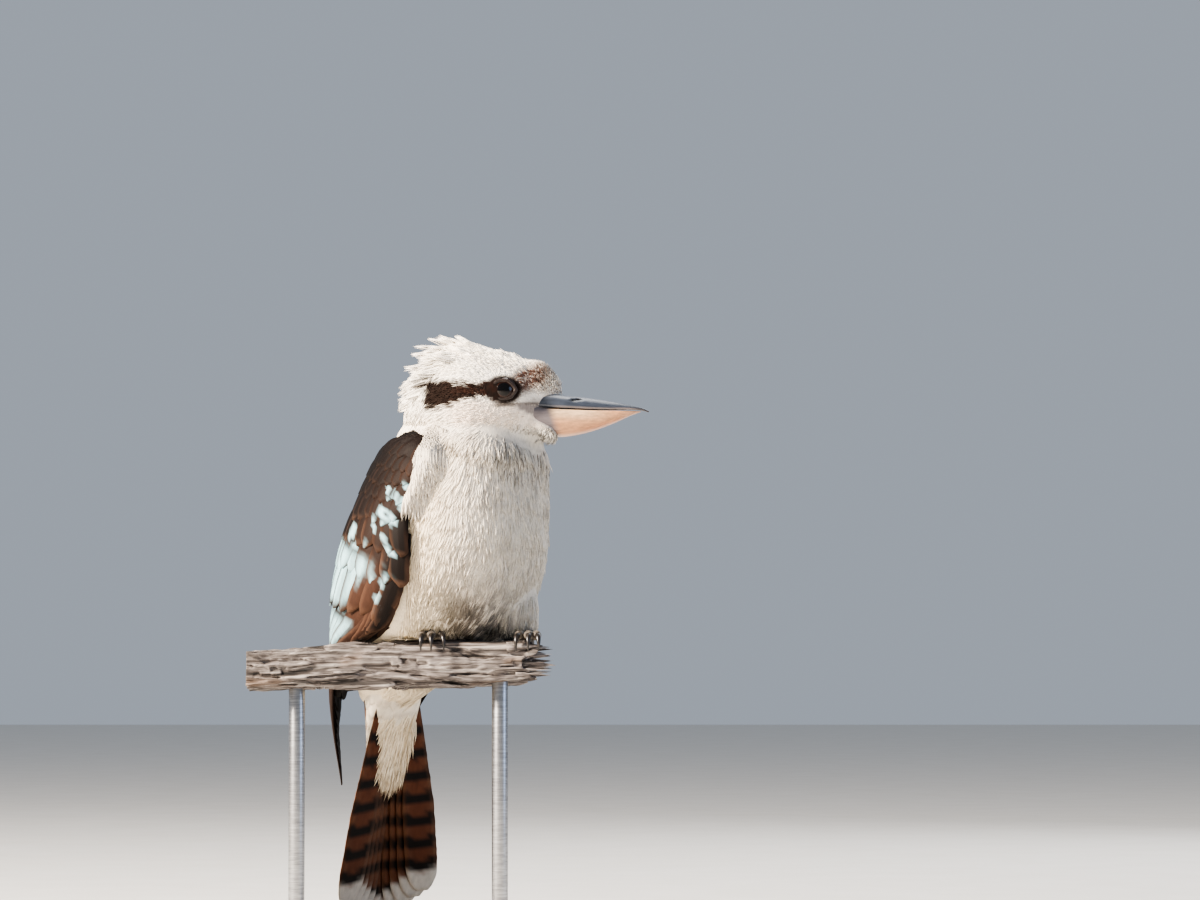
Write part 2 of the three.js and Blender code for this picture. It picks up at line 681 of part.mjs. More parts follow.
// The middle and the half width of the branch's section at x.
function branchSpan(x) {
  const { from, to, slope, deep } = HOLLOW;
  const { smoothstep } = THREE.MathUtils;
  const worn = deep * smoothstep(x, from, from + slope) * smoothstep(-x, -to, slope - to);
  return [BRANCH_MIDDLE - worn / 2, BRANCH_HALF - worn / 2];
}

function onBranch(x, angle, grow) {
  const [c, s] = [cos(angle), sin(angle)];
  const calm = 1 - clamp(abs(x - 22) / 60, 0, 1); // smoother under the feet
  const groove =
    0.9 * sin(5 * angle + x / 31) + 0.8 * sin(9 * angle - x / 23 + 1) + 0.6 * sin(14 * angle + x / 17 + 2);
  const ridge = groove * lerp(0.7, s > 0 ? 0.1 : 0.55, calm) + grow;
  const box = 0.5; // the section, from 1, an ellipse, to 0, a box
  const [middle, half] = branchSpan(x);
  const y = sign(c) * pow(abs(c), box) * (half - 0.6) + c * ridge;
  const thinAtBreak = lerp(1, 0.62, clamp((x - 16) / 40, 0, 1));
  const thinAtCut = lerp(1, 0.55, clamp((-20 - x) / 90, 0, 1));
  const thick = BRANCH_THICK * (s < 0 ? min(thinAtBreak, thinAtCut) : 1);
  const z = (sign(s) * pow(abs(s), box) * thick) / 2 + s * ridge;
  const sag = 7 * pow(clamp((-20 - x) / 90, 0, 1), 1.3);
  const fall = BRANCH_FALL * pow(clamp(y / half + 0.2, 0, 1), 1.2) * (s > 0 ? 1 : 0.3);
  return [x, middle + y, PERCH_TOP - BRANCH_THICK / 2 - 0.4 + z - sag - fall];
}

function branchForm(grow) {
  const [sides, rings] = [26, 12];
  const jag = (angle) => 3.2 * sin(7 * angle + 0.6) + 2.4 * sin(11 * angle + 2);
  const point = (place, angle) => {
    const along = clamp((place * rings - 1) / (rings - 2), 0, 1);
    const x = lerp(BRANCH_CUT_X - grow, BRANCH_BROKEN_X + grow, along);
    if (place === 0) return [x, BRANCH_MIDDLE, PERCH_TOP - BRANCH_THICK];
    if (place === 1) return [x - 4, BRANCH_MIDDLE, PERCH_TOP - BRANCH_THICK / 2];
    const broken = pow(clamp((x - 34) / 16, 0, 1), 2);
    const [px, py, pz] = onBranch(x, angle, grow);
    return [px + broken * jag(angle), py, pz];
  };
  return roundForm(point, sides, rings);
}

// Splinters of the broken end: where each starts across and up, its length, width and tilt.
const SPLINTERS = [
  { y: -26, z: -4.5, long: 20, wide: 4.4, thick: 3.2, tilt: -4 },
  { y: -17, z: -8, long: 24, wide: 5, thick: 3.4, tilt: 2 },
  { y: -23, z: -12.5, long: 27, wide: 4, thick: 2.8, tilt: 3 },
  { y: -8, z: -5, long: 18, wide: 5.2, thick: 3.4, tilt: -3 },
  { y: 0, z: -11, long: 21, wide: 4.4, thick: 3.2, tilt: 3 },
  { y: -11, z: -14.5, long: 16, wide: 4.8, thick: 2.8, tilt: 4 },
];

function splinter({ y, z, long, wide, thick, tilt }) {
  const frame = new THREE.Matrix4()
    .makeTranslation(BRANCH_BROKEN_X - 12, y, PERCH_TOP + z)
    .multiply(new THREE.Matrix4().makeRotationY(rad(tilt)));
  const point = (u, v, face) => {
    const taper = 1 - 0.93 * pow(u, 1.4);
    return inPart(frame, [long * u, v * wide * taper, face * thick * taper * (1 - 0.5 * v * v)]);
  };
  return plate(point, 3, 2);
}

function rodForm(x, grow, from, to) {
  const rod = new THREE.CylinderGeometry(ROD_R + grow, ROD_R + grow, to - from, 20).rotateX(PI / 2);
  return solid(rod.translate(x, BRANCH_MIDDLE, (from + to) / 2));
}

function baseForm() {
  const { x, y, wide, deep, thick, corner, bevel } = BASE;
  const [w, d] = [wide / 2 - bevel, deep / 2 - bevel];
  const r = corner - bevel;
  const outline = new THREE.Shape();
  outline.moveTo(-w + r, -d).lineTo(w - r, -d).absarc(w - r, -d + r, r, -PI / 2, 0);
  outline.lineTo(w, d - r).absarc(w - r, d - r, r, 0, PI / 2);
  outline.lineTo(-w + r, d).absarc(-w + r, d - r, r, PI / 2, PI);
  outline.lineTo(-w, -d + r).absarc(-w + r, -d + r, r, PI, 1.5 * PI);
  const block = new THREE.ExtrudeGeometry(outline, {
    depth: thick - 2 * bevel,
    bevelSize: bevel,
    bevelThickness: bevel,
    bevelSegments: 1,
    curveSegments: 3,
  });
  return solid(block.translate(x, y, bevel));
}

// Put together: every piece is cut by the grown form of what it meets.
const rodTop = PERCH_TOP - BRANCH_THICK + 7;
const legs = ["right", "left"];
const legsGrown = joined(legs.map((foot) => legForm(foot, GAP)));
const clawsGrown = joined(legs.flatMap((foot) => TOES.map((toe) => clawForm(foot, toe, GAP))));
const rodsGrown = joined(Object.values(ROD_X).map((x) => rodForm(x, GAP, BASE.thick, rodTop + GAP)));
const branchWhole = joined([branchForm(0), ...SPLINTERS.map(splinter)]);
const branch = largest(without(branchWhole, legsGrown, clawsGrown, rodsGrown));
const branchGrown = branchForm(1.6);

const trunk = trunkForm(0);
const headBall = headForm(0);
const flesh = trunk.add(headBall);
const fleshGrown = trunkForm(GAP).add(headForm(GAP));

const headKnife = knife(HEAD_CUT.x, HEAD_CUT.z, HEAD_CUT.tilt, headFrame);
const neckAt = onTrunk(NECK_CUT.down, 0, 0, 0, 0);
const neckKnife = knife(neckAt[0], neckAt[2], NECK_CUT.tilt, birdFrame);
const tailKnife = knife(tailAt[0], tailAt[2], LEAN, birdFrame);

const upper = upperBillForm(0);
const lower = lowerBillForm(0);
const billGrown = upperBillForm(GAP).add(lowerBillForm(GAP));
const eyesGrown = eyeBall(1, GAP).add(eyeBall(-1, GAP));

const [below, headPlain] = piecesOf(flesh, headKnife);
const headCore = headPlain.add(lids(1)).add(lids(-1));
const headCut = without(headCore, gape(), billGrown, eyesGrown);

const [trunkAndTail, neck] = piecesOf(below, neckKnife);
const [trunkLong] = piecesOf(trunkAndTail, tailKnife);
const belly = joined([trunkLong, ...THIGHS.map(thighForm)]);
const torso = largest(without(belly, neckKnife, branchGrown, legsGrown, clawsGrown));

const tailGrown = tailRoot(GAP).add(tailSheath());
const wingTops = shoulderRoom(-1).add(shoulderRoom(1));

function wing(side) {
  const core = largest(without(wingCore(side), fleshGrown));
  return largest(without(joined([core, ...wingFeathers(side)]), fleshGrown, branchGrown, tailGrown));
}
const wingRight = wing(-1);
const wingLeft = wing(1);
const head = largest(without(joined([headCut, ...crownLocks()]), wingTops, eyesGrown, billGrown));

const tailFeathers = [0, 1, 2, 3, 4, 5].flatMap((rank) => [tailFeather(1, rank), tailFeather(-1, rank)]);
const tailSolid = joined([tailRoot(0), ...tailFeathers]);
const tailBelow = placed(
  solid(new THREE.BoxGeometry(200, 200, 300).translate(0, 0, -150 - GAP / 2)),
  birdFrame
    .clone()
    .multiply(new THREE.Matrix4().makeTranslation(...tailAt))
    .multiply(new THREE.Matrix4().makeRotationY(LEAN)),
);
const tail = largest(without(tailSolid.intersect(tailBelow), branchGrown));

// Colours as the eye meets them
const PLUMAGE_WHITE = { color: "#e9e2d3", roughness: 0.9 };
const BREAST = { color: "#ddd3bf", roughness: 0.9 };
const WING_BROWN = { color: "#6b4130", roughness: 0.8 };
const TAIL_RUFOUS = { color: "#8a5637", roughness: 0.8 };
const BILL_GREY = { color: "#4b4f58", roughness: 0.45 };
const BILL_HORN = { color: "#d9a884", roughness: 0.45 };
const EYE_BROWN = { color: "#2a1a14", roughness: 0.08 };
const TOE_GREY = { color: "#7c7665", roughness: 0.7 };
const CLAW_BLACK = { color: "#26221f", roughness: 0.35 };
const WEATHERED = { color: "#a39c95", roughness: 0.95 };
const STEEL = { color: "#9a9c9e", roughness: 0.35, metalness: 1 };
const BASE_OAK = { color: "#4a3a2e", roughness: 0.5 };

const part = new THREE.Group();
const onBase = new THREE.Group();
onBase.position.set(-BASE.x, -BASE.y, 0);
part.add(onBase);
function add(name, body, look) {
  const mesh = new THREE.Mesh(geometryOf(body), new THREE.MeshStandardMaterial(look));
  mesh.name = name;
  onBase.add(mesh);
}

add("head", head, PLUMAGE_WHITE);
add("neck", neck, PLUMAGE_WHITE);
add("torso", torso, BREAST);
add("bill_upper", largest(without(upper, ...nostrils())), BILL_GREY);
add("bill_lower", lower, BILL_HORN);
add("eye_right", eyeBall(-1, 0), EYE_BROWN);
add("eye_left", eyeBall(1, 0), EYE_BROWN);
add("wing_right", wingRight, WING_BROWN);
add("wing_left", wingLeft, WING_BROWN);
add("tail", tail, TAIL_RUFOUS);
for (const foot of legs) {
  add(`leg_${foot}`, largest(without(legForm(foot, 0), clawsGrown)), TOE_GREY);
  for (const toe of TOES) add(`claw_${foot}_${toe.name}`, clawForm(foot, toe, 0), CLAW_BLACK);
}
add("perch", branch, WEATHERED);
for (const [side, x] of Object.entries(ROD_X)) {
  add(`stand_rod_${side}`, rodForm(x, 0, BASE.thick + GAP, rodTop), STEEL);
}
add("stand_base", baseForm(), BASE_OAK);

export default part;
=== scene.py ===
import math

import bmesh
import bpy
import numpy as np
from bpy.props import FloatProperty, FloatVectorProperty, PointerProperty
from mathutils import Matrix, Vector, kdtree


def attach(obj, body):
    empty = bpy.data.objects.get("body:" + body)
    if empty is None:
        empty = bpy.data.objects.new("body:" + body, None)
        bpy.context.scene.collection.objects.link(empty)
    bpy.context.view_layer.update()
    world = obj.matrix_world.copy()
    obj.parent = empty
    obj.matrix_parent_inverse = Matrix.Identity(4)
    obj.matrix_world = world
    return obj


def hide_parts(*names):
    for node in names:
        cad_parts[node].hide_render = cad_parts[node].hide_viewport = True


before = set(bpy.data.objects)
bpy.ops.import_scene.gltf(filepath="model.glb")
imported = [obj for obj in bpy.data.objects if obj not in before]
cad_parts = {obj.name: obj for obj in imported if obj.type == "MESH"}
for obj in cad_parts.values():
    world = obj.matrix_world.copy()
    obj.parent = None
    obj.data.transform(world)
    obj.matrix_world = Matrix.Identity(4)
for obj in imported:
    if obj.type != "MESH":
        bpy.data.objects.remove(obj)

bl_info = {
    "name": "Kookaburra on a perch",
    "version": (1, 0, 0),
    "blender": (4, 5, 0),
    "location": "3D View > Sidebar > Kookaburra",
    "description": "Dresses the packed kookaburra model with plumage, bill, eyes, feet, perch and stand",
    "category": "Object",
}

MM = 0.001
BASE_MIDDLE = np.array([-10.0, 13.0, 0.0])  # the CAD's origin, in the millimetres used below

# Sizes that part.mjs uses too, in millimetres
PERCH_TOP = 190.0
BODY_X = 8.4
BODY_TURN = math.radians(42 - 90)
LEAN = math.radians(20)
TRUNK_TOP = np.array([20.0, 118.0])
HEAD_AT = np.array([26.3, -15.0, 138.9 + PERCH_TOP])
DOWN = np.array([-math.sin(LEAN), -math.cos(LEAN)])
BACK = np.array([-math.cos(LEAN), math.sin(LEAN)])


def srgb(code):
    """A hex colour as the linear values that shaders use."""
    parts = [int(code[i : i + 2], 16) / 255 for i in (1, 3, 5)]
    return tuple(c / 12.92 if c <= 0.04045 else ((c + 0.055) / 1.055) ** 2.4 for c in parts)


def track(rows):
    """A smooth curve through rows of [place, value, value...], read at any places."""
    rows = np.array(rows, float)
    place, values = rows[:, 0], rows[:, 1:]
    slope = np.empty_like(values)
    slope[1:-1] = (values[2:] - values[:-2]) / (place[2:] - place[:-2])[:, None]
    slope[0] = (values[1] - values[0]) / (place[1] - place[0])
    slope[-1] = (values[-1] - values[-2]) / (place[-1] - place[-2])

    def read(at):
        at = np.asarray(at, float)
        i = np.clip(np.searchsorted(place, at, "right") - 1, 0, len(place) - 2)
        step = (place[i + 1] - place[i])[..., None]
        u = np.clip((at - place[i])[..., None] / step, 0, 1)
        u2, u3 = u * u, u * u * u
        a = (2 * u3 - 3 * u2 + 1) * values[i] + (u3 - 2 * u2 + u) * slope[i] * step
        b = (3 * u2 - 2 * u3) * values[i + 1] + (u3 - u2) * slope[i + 1] * step
        return np.moveaxis(a + b, -1, 0)

    return read


def smooth(low, high, value):
    """0 below low, 1 above high, and an S between them."""
    u = np.clip((np.asarray(value, float) - low) / (high - low), 0, 1)
    return u * u * (3 - 2 * u)


def turn(axis, angle):
    return np.array(Matrix.Rotation(angle, 4, axis))


def move(x, y, z):
    return np.array(Matrix.Translation((x, y, z)))


BIRD = move(BODY_X, 0, PERCH_TOP) @ turn("Z", BODY_TURN)
HEAD = move(*HEAD_AT)


def placed(frame4, points):
    """Points of a frame (bird, head or tail) as points over the perch."""
    return points @ frame4[:3, :3].T + frame4[:3, 3]


def into(frame4, points):
    """Points over the perch as points of a frame."""
    return (points - frame4[:3, 3]) @ frame4[:3, :3]


# Trunk: down its axis, then half width and how far back and breast stand off the axis
trunk_size = track([
    [-22, 37, 33, 30], [0, 40, 41, 33], [15, 44, 42.5, 38], [30, 49, 44.5, 43.5], [50, 54, 47.5, 50],
    [72, 58, 50.5, 52], [92, 59, 51, 47.5], [110, 56.5, 49.5, 38.5], [125, 50, 47, 28], [138, 42, 45, 17],
    [152, 32, 42, 5], [165, 23, 38, -8], [180, 15, 34, -16],
])
# Head: place along it, then middle line, half width, height over and depth under
head_size = track([
    [-45, -12, 37, 27, 28], [-39, -9, 37.5, 25.5, 32], [-31, -6, 37, 28, 32], [-17, -4.5, 33.5, 31.6, 30],
    [0, -4, 29, 26.6, 28.5], [13, -4.5, 25, 24.4, 28], [24, -6, 20.6, 26.4, 28.4],
    [32.5, -6.5, 17.6, 29.5, 32.5], [39, -7, 16.6, 31.5, 38], [44, -8, 18, 33.6, 45],
])
# Folded wings: down the trunk's axis, then half width and how far the back stands off the axis
wing_skin = track([
    [2, 42, 43], [12, 46.5, 44.5], [24, 50.5, 46], [38, 54.5, 48], [52, 58, 50.5], [70, 60.8, 53],
    [87, 61.5, 54], [108, 59.5, 52.5], [123, 55.5, 51.5], [137, 50, 49.5], [165, 39.5, 44],
    [190, 30, 38], [215, 21.5, 31], [232, 17, 27],
])
# Down the axis, then how far the front stands off it
wing_front = track([[4, 38], [34, 47], [70, 53], [110, 42], [137, 20], [165, -8], [200, -20], [232, -16]])
# Down the axis, then the wing's back and front edge in degrees round it
wing_reach = track([
    [0, 94, 104], [6, 76, 113], [13, 58, 113], [21, 46, 111], [30, 39, 109], [45, 30, 109],
    [72, 22, 118], [100, 16, 125], [118, 13, 122], [130, 12, 112], [142, 12, 101], [160, 14, 97],
    [190, 22, 90], [215, 34, 78], [232, 44, 66],
])
# Degrees of the left wing's front that lie under the breast
LEFT_TUCK = 12


def on_trunk(down, angle, wide, back, breast):
    """Points round the trunk's axis in the bird's frame. The angle is 0 at the middle of the back."""
    away = (back - breast) / 2 + np.cos(angle) * (back + breast) / 2
    return np.stack([
        TRUNK_TOP[0] + DOWN[0] * down + BACK[0] * away,
        -np.sin(angle) * wide,
        TRUNK_TOP[1] + DOWN[1] * down + BACK[1] * away,
    ], -1)


def wing_edges(down, side):
    """The back and front edge of a folded wing. The side is -1 for the bird's right and 1 for its left."""
    back_edge, front_edge = wing_reach(down)
    return back_edge, front_edge - (LEFT_TUCK if side > 0 else 0)


def on_wing(side, down, degrees, lift):
    """Points over a folded wing, as millimetres off its surface."""
    wide, back = wing_skin(down)
    front = wing_front(down)[0]
    angle = -side * np.radians(degrees)
    return placed(BIRD, on_trunk(down, angle, wide + lift, back + lift, front + lift))


def on_head(place, angle, grow):
    """Points round the head, for a place from the nape at 0 to the bill's base at 1."""
    x = -0.5 - (44.5 + grow) * np.cos(np.pi * place)
    middle, wide, over, under = head_size(x)
    close = np.sin(np.pi * place) ** 0.94
    c, s = np.cos(angle), np.sin(angle)
    tall = np.where(s > 0, over, under)
    y = (wide * close + grow) * np.sign(c) * np.abs(c) ** 0.86
    z = middle + (tall * close + grow) * np.sign(s) * np.abs(s) ** 0.86
    return np.stack([x, y, z], -1)


# Meshes from arrays


def build(name, points, faces, material):
    """A smooth mesh from points in millimetres over the perch, and an array or a list of faces."""
    mesh = bpy.data.meshes.new(name)
    points = ((np.asarray(points, float).reshape(-1, 3) - BASE_MIDDLE) * MM).astype(np.float32)
    if isinstance(faces, np.ndarray):
        count, sides = faces.shape
        mesh.vertices.add(len(points))
        mesh.vertices.foreach_set("co", points.ravel())
        mesh.loops.add(count * sides)
        mesh.loops.foreach_set("vertex_index", faces.astype(np.int32).ravel())
        mesh.polygons.add(count)
        mesh.polygons.foreach_set("loop_start", np.arange(0, count * sides, sides, dtype=np.int32))
    else:
        mesh.from_pydata(points.tolist(), [], faces)
    mesh.update(calc_edges=True)
    mesh.polygons.foreach_set("use_smooth", np.ones(len(mesh.polygons), bool))
    mesh.materials.append(material)
    made = bpy.data.objects.new(name, mesh)
    bpy.context.collection.objects.link(made)
    return made


def paint(made, colours, name="plumage"):
    """One colour for each point, as an attribute that the material reads."""
    layer = made.data.color_attributes.new(name, "FLOAT_COLOR", "POINT")
    full = np.ones((len(made.data.vertices), 4), np.float32)
    full[:, :3] = np.clip(np.asarray(colours).reshape(-1, 3), 0, 1)
    layer.data.foreach_set("color", full.ravel())


def unwrap(made, uv):
    """A UV map from one place for each point."""
    layer = made.data.uv_layers.new(name="OFBake")
    corner = np.empty(len(made.data.loops), np.int32)
    made.data.loops.foreach_get("vertex_index", corner)
    layer.data.foreach_set("uv", np.asarray(uv, np.float32).reshape(-1, 2)[corner].ravel())


def rounded(grid):
    """A closed form from rings of points, whose first and last ring are poles."""
    rings, sides = grid.shape[:2]
    points = [grid[0].mean(0)] + list(grid[1:-1].reshape(-1, 3)) + [grid[-1].mean(0)]
    last = len(points) - 1

    def at(ring, k):
        return 1 + (ring - 1) * sides + k % sides

    faces = []
    for k in range(sides):
        faces.append((0, at(1, k + 1), at(1, k)))
        faces.append((last, at(rings - 2, k), at(rings - 2, k + 1)))
    for ring in range(1, rings - 2):
        for k in range(sides):
            faces.append((at(ring, k), at(ring, k + 1), at(ring + 1, k + 1), at(ring + 1, k)))
    return np.array(points), faces


def select_only(made):
    bpy.ops.object.select_all(action="DESELECT")
    made.select_set(True)
    bpy.context.view_layer.objects.active = made


def primitive(name, kind, material, **settings):
    """One of Blender's own forms, round the origin."""
    bpy.ops.object.select_all(action="DESELECT")
    getattr(bpy.ops.mesh, f"primitive_{kind}_add")(**settings)
    made = bpy.context.active_object
    made.name = made.data.name = name
    made.data.materials.append(material)
    return made


def outward(made):
    """Turns every face of a closed mesh outwards."""
    mesh = bmesh.new()
    mesh.from_mesh(made.data)
    bmesh.ops.remove_doubles(mesh, verts=mesh.verts, dist=1e-7)
    bmesh.ops.recalc_face_normals(mesh, faces=mesh.faces)
    mesh.to_mesh(made.data)
    mesh.free()


def joined(name, pieces):
    """Joins pieces into the first one, under a new name."""
    select_only(pieces[0])
    for made in pieces:
        made.select_set(True)
    bpy.ops.object.join()
    pieces[0].name = pieces[0].data.name = name
    return pieces[0]


def modified(made, kind, **settings):
    """Adds a modifier and applies it."""
    select_only(made)
    modifier = made.modifiers.new(kind.lower(), kind)
    for key, value in settings.items():
        setattr(modifier, key, value)
    bpy.ops.object.modifier_apply(modifier=modifier.name)


def wears(made, slot, *nodes):
    """Rides on the one body and stands for the CAD nodes. The slot is not used."""
    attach(made, "root")
    if nodes:
        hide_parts(*nodes)
    return made


# Materials


def add_node(tree, kind, settings=None, links=None, feeds=None):
    """Adds one node with its settings, socket values or ramp stops, and its links in and out."""
    made = tree.nodes.new(kind)
    for key, value in (settings or {}).items():
        if key == "stops":
            set_stops(made.color_ramp, value)
        elif hasattr(made, key):
            setattr(made, key, value)
        else:
            made.inputs[key].default_value = value
    for key, source in (links or {}).items():
        tree.links.new(source, made.inputs[key])
    if feeds is not None:
        tree.links.new(made.outputs[0], feeds)
    return made


def set_stops(color_ramp, stops):
    """Sets stops of (place, colour), where a colour is a hex value or linear."""
    while len(color_ramp.elements) < len(stops):
        color_ramp.elements.new(0.5)
    for element, (place, colour) in zip(color_ramp.elements, stops):
        element.position = place
        element.color = (*(srgb(colour) if isinstance(colour, str) else colour), 1)


def new_material(name, **sockets):
    """A material with only its Principled shader, whose constants are set on its own sockets."""
    material = bpy.data.materials.new(name)
    material.use_nodes = True
    tree = material.node_tree
    shader = tree.nodes["Principled BSDF"]
    for key, value in sockets.items():
        shader.inputs[key.replace("_", " ")].default_value = value
    return material, tree, shader


def object_noise(tree, size_mm, stretch=(1, 1, 1), detail=3.0, roughness=0.5, distortion=0.0):
    """Noise on Object coordinates with features of about size_mm, stretched along an axis."""
    where = add_node(tree, "ShaderNodeTexCoord").outputs["Object"]
    scale = [1 / (size_mm * MM * s) for s in stretch]
    fit = add_node(tree, "ShaderNodeMapping", {"Scale": scale}, {"Vector": where}).outputs["Vector"]
    settings = {"Scale": 1.0, "Detail": detail, "Roughness": roughness, "Distortion": distortion}
    return add_node(tree, "ShaderNodeTexNoise", settings, {"Vector": fit}).outputs["Fac"]


def shaded(tree, colour, noise, low, high, span=(0.3, 0.7)):
    """A colour times a grey that runs from low to high while the noise runs over its span."""
    settings = {"From Min": span[0], "From Max": span[1], "To Min": low, "To Max": high}
    grey = add_node(tree, "ShaderNodeMapRange", settings, {"Value": noise}).outputs["Result"]
    links = {0: colour, "Scale": grey}
    return add_node(tree, "ShaderNodeVectorMath", {"operation": "SCALE"}, links).outputs["Vector"]


def down_material():
    """Contour feathers: matt, soft barbs that scatter light, so a high roughness and hardly any gloss."""
    material, tree, shader = new_material("contour feathers", Roughness=0.9, Specular_IOR_Level=0.03)
    colour = add_node(tree, "ShaderNodeAttribute", {"attribute_name": "plumage"}).outputs["Color"]
    # 0.7 mm is the width of a bunch of barbs
    bunches = object_noise(tree, 0.7, (1, 1, 3))
    tree.links.new(shaded(tree, colour, bunches, 0.86, 1.12), shader.inputs["Base Color"])
    return material


def vane_material():
    """Flight feathers and coverts: closed vanes with a satin face, ribbed by their barbs."""
    material, tree, shader = new_material("vaned feathers", Roughness=0.6, Specular_IOR_Level=0.12)
    colour = add_node(tree, "ShaderNodeAttribute", {"attribute_name": "plumage"}).outputs["Color"]
    quill = add_node(tree, "ShaderNodeAttribute", {"attribute_name": "quill"}).outputs["Vector"]
    # Barbs leave the shaft at about 35 degrees, 0.4 mm apart, and are drawn 1.3 mm apart so that they show
    settings = {
        "wave_type": "BANDS", "bands_direction": "X", "Scale": 0.24, "Distortion": 1.2, "Detail": 2.0,
    }
    barbs = add_node(tree, "ShaderNodeTexWave", settings, {"Vector": quill}).outputs["Fac"]
    lit = shaded(tree, colour, barbs, 0.86, 1.1)
    lit = shaded(tree, lit, object_noise(tree, 2.2, (1, 1, 3)), 0.88, 1.1)
    tree.links.new(lit, shader.inputs["Base Color"])
    ridges = {"Distance": 0.12 * MM, "Strength": 0.5}
    add_node(tree, "ShaderNodeBump", ridges, {"Height": barbs}, shader.inputs["Normal"])
    return material


# Markings: one colour for any point of the skin or the coat

SHADES = {
    "cream": "#efe6d8", "ivory": "#f1e3c8", "buff": "#d8c2a0", "cheek": "#e6d5c6", "cool": "#8f979c",
    "grey": "#a79d92", "streak": "#5f554d", "smudge": "#2a231e", "rufous": "#4d3026", "speckle": "#8a7468",
    "gape": "#857d7a", "mantle": "#2c1f19", "rump": "#54443a",
}


def ripple(points, size_mm, seed):
    """Smooth numbers from 0 to 1 that vary over about size_mm."""
    dice = np.random.default_rng(seed)
    total = 0
    for _ in range(5):
        direction = dice.normal(size=3)
        direction /= np.linalg.norm(direction)
        run = points @ direction * (2 * np.pi / size_mm) * dice.uniform(0.6, 1.5)
        total = total + np.sin(run + dice.uniform(0, 7))
    return np.clip(0.5 + total / 5, 0, 1)


def tint(name):
    """One of the colours that the panel shows."""
    return np.array(getattr(bpy.context.scene.kookaburra_colours, name))


def mix(colours, shade, weight):
    """Colours moved towards one of the shades above or of the panel's colours."""
    target = np.array(srgb(SHADES[shade])) if shade in SHADES else tint(shade)
    return colours + (target - colours) * np.clip(weight, 0, 1)[:, None]


def body_place(points):
    """Down the trunk's axis, degrees round it from the back's middle, and the side (+ is the left)."""
    b = into(BIRD, points)
    rel = b[:, [0, 2]] - TRUNK_TOP
    down = rel @ DOWN
    away = rel @ BACK
    _, back, breast = trunk_size(down)
    around = np.degrees(np.arctan2(np.abs(b[:, 1]), away - (back - breast) / 2))
    return down, around, np.sign(b[:, 1])


def gape_place(h):
    """1 on the bare skin behind the bill, a wedge that widens towards the lower bill, and 0 off it."""
    x, _, z = h.T
    under = -11.2 - 0.44 * (x - 18)
    along = smooth(16.5, 18.5, x) * smooth(44, 42, x)
    return along * smooth(-8.6, -9.4, z) * smooth(under - 0.6, under + 0.6, z)


EYE = np.array([9.4, 17.6, -0.9])
# Eye stripe: place along the head, then its upper and its lower edge
MASK_EDGES = track([
    [-34, 4.6, -10.8], [-28, 5.2, -11.8], [-20, 3.8, -10.4], [-12, 3, -7.6], [-2, 3.6, -5.6], [8, 5.5, -6],
])
BREAST_BAR = 5.2


def body_marks(colours, points, h):
    """Cream breast with faint bars, dark patches low on the belly that are painted shade over some mottling,
    warm painted light on the sunny side and cool painted shade on the far side, brown mantle between the
    wings.
    """
    x, over_perch = points[:, 0], points[:, 2] - PERCH_TOP
    down, around, _ = body_place(points)
    body = smooth(-17, -32, h[:, 2] - 0.12 * h[:, 0])
    below = smooth(70, 95, around)
    colours = mix(colours, "breast", body * (0.55 + 0.3 * ripple(points, 22, 2)))
    wave = np.sin(down * 2 * np.pi / BREAST_BAR + 5 * ripple(points, 26, 3))
    bars = smooth(0.25, 0.9, wave) * smooth(0.35, 0.75, ripple(points, 17, 4))
    colours = mix(colours, "grey", 0.5 * bars * body)
    streaks = smooth(0.6, 0.85, ripple(points * [1, 1, 0.25], 4.2, 5))
    streaks = streaks * smooth(0.3, 0.7, ripple(points, 15, 6))
    colours = mix(colours, "streak", 0.5 * streaks * body * smooth(45, 20, down))
    # painted warm light: a buff tint low on the sunny side of the belly
    colours = mix(colours, "buff", 0.35 * smooth(112, 25, over_perch) * smooth(22, -22, x) * below)
    # painted shade: near-black patches low on the belly next to the perch, over some real mottling
    low = smooth(46, 9, over_perch) * smooth(60, 90, around)
    patches = 0.5 * ripple(points * [1, 1, 0.22], 4, 7) + 0.5 * ripple(points, 15, 13)
    patches = smooth(0.06, 0.58, patches) * smooth(40, 18, np.abs(x - 14))
    colours = mix(colours, "smudge", 0.95 * low * patches)
    # painted shade: grey low on the front of the belly, above the perch
    shade = smooth(70, 30, over_perch) * below * ripple(points * [1, 1, 0.5], 12, 14)
    colours = mix(colours, "grey", 0.42 * shade * smooth(44, 24, np.abs(x - 18)))
    # painted light: the sunny side is painted warm and pale, the far side painted in cool shade
    colours = mix(colours, "ivory", 0.75 * body * smooth(20, -18, x) * below)
    colours = mix(colours, "cool", 0.45 * body * smooth(14, 44, x) * below)
    mantle = smooth(15, 24, down - 0.1 * around) * smooth(72, 58, around)
    colours = mix(colours, "mantle", mantle)
    rump = mantle * smooth(112, 130, down)
    return mix(colours, "rump", rump * (0.5 + 0.5 * smooth(-0.2, 0.6, wave)))


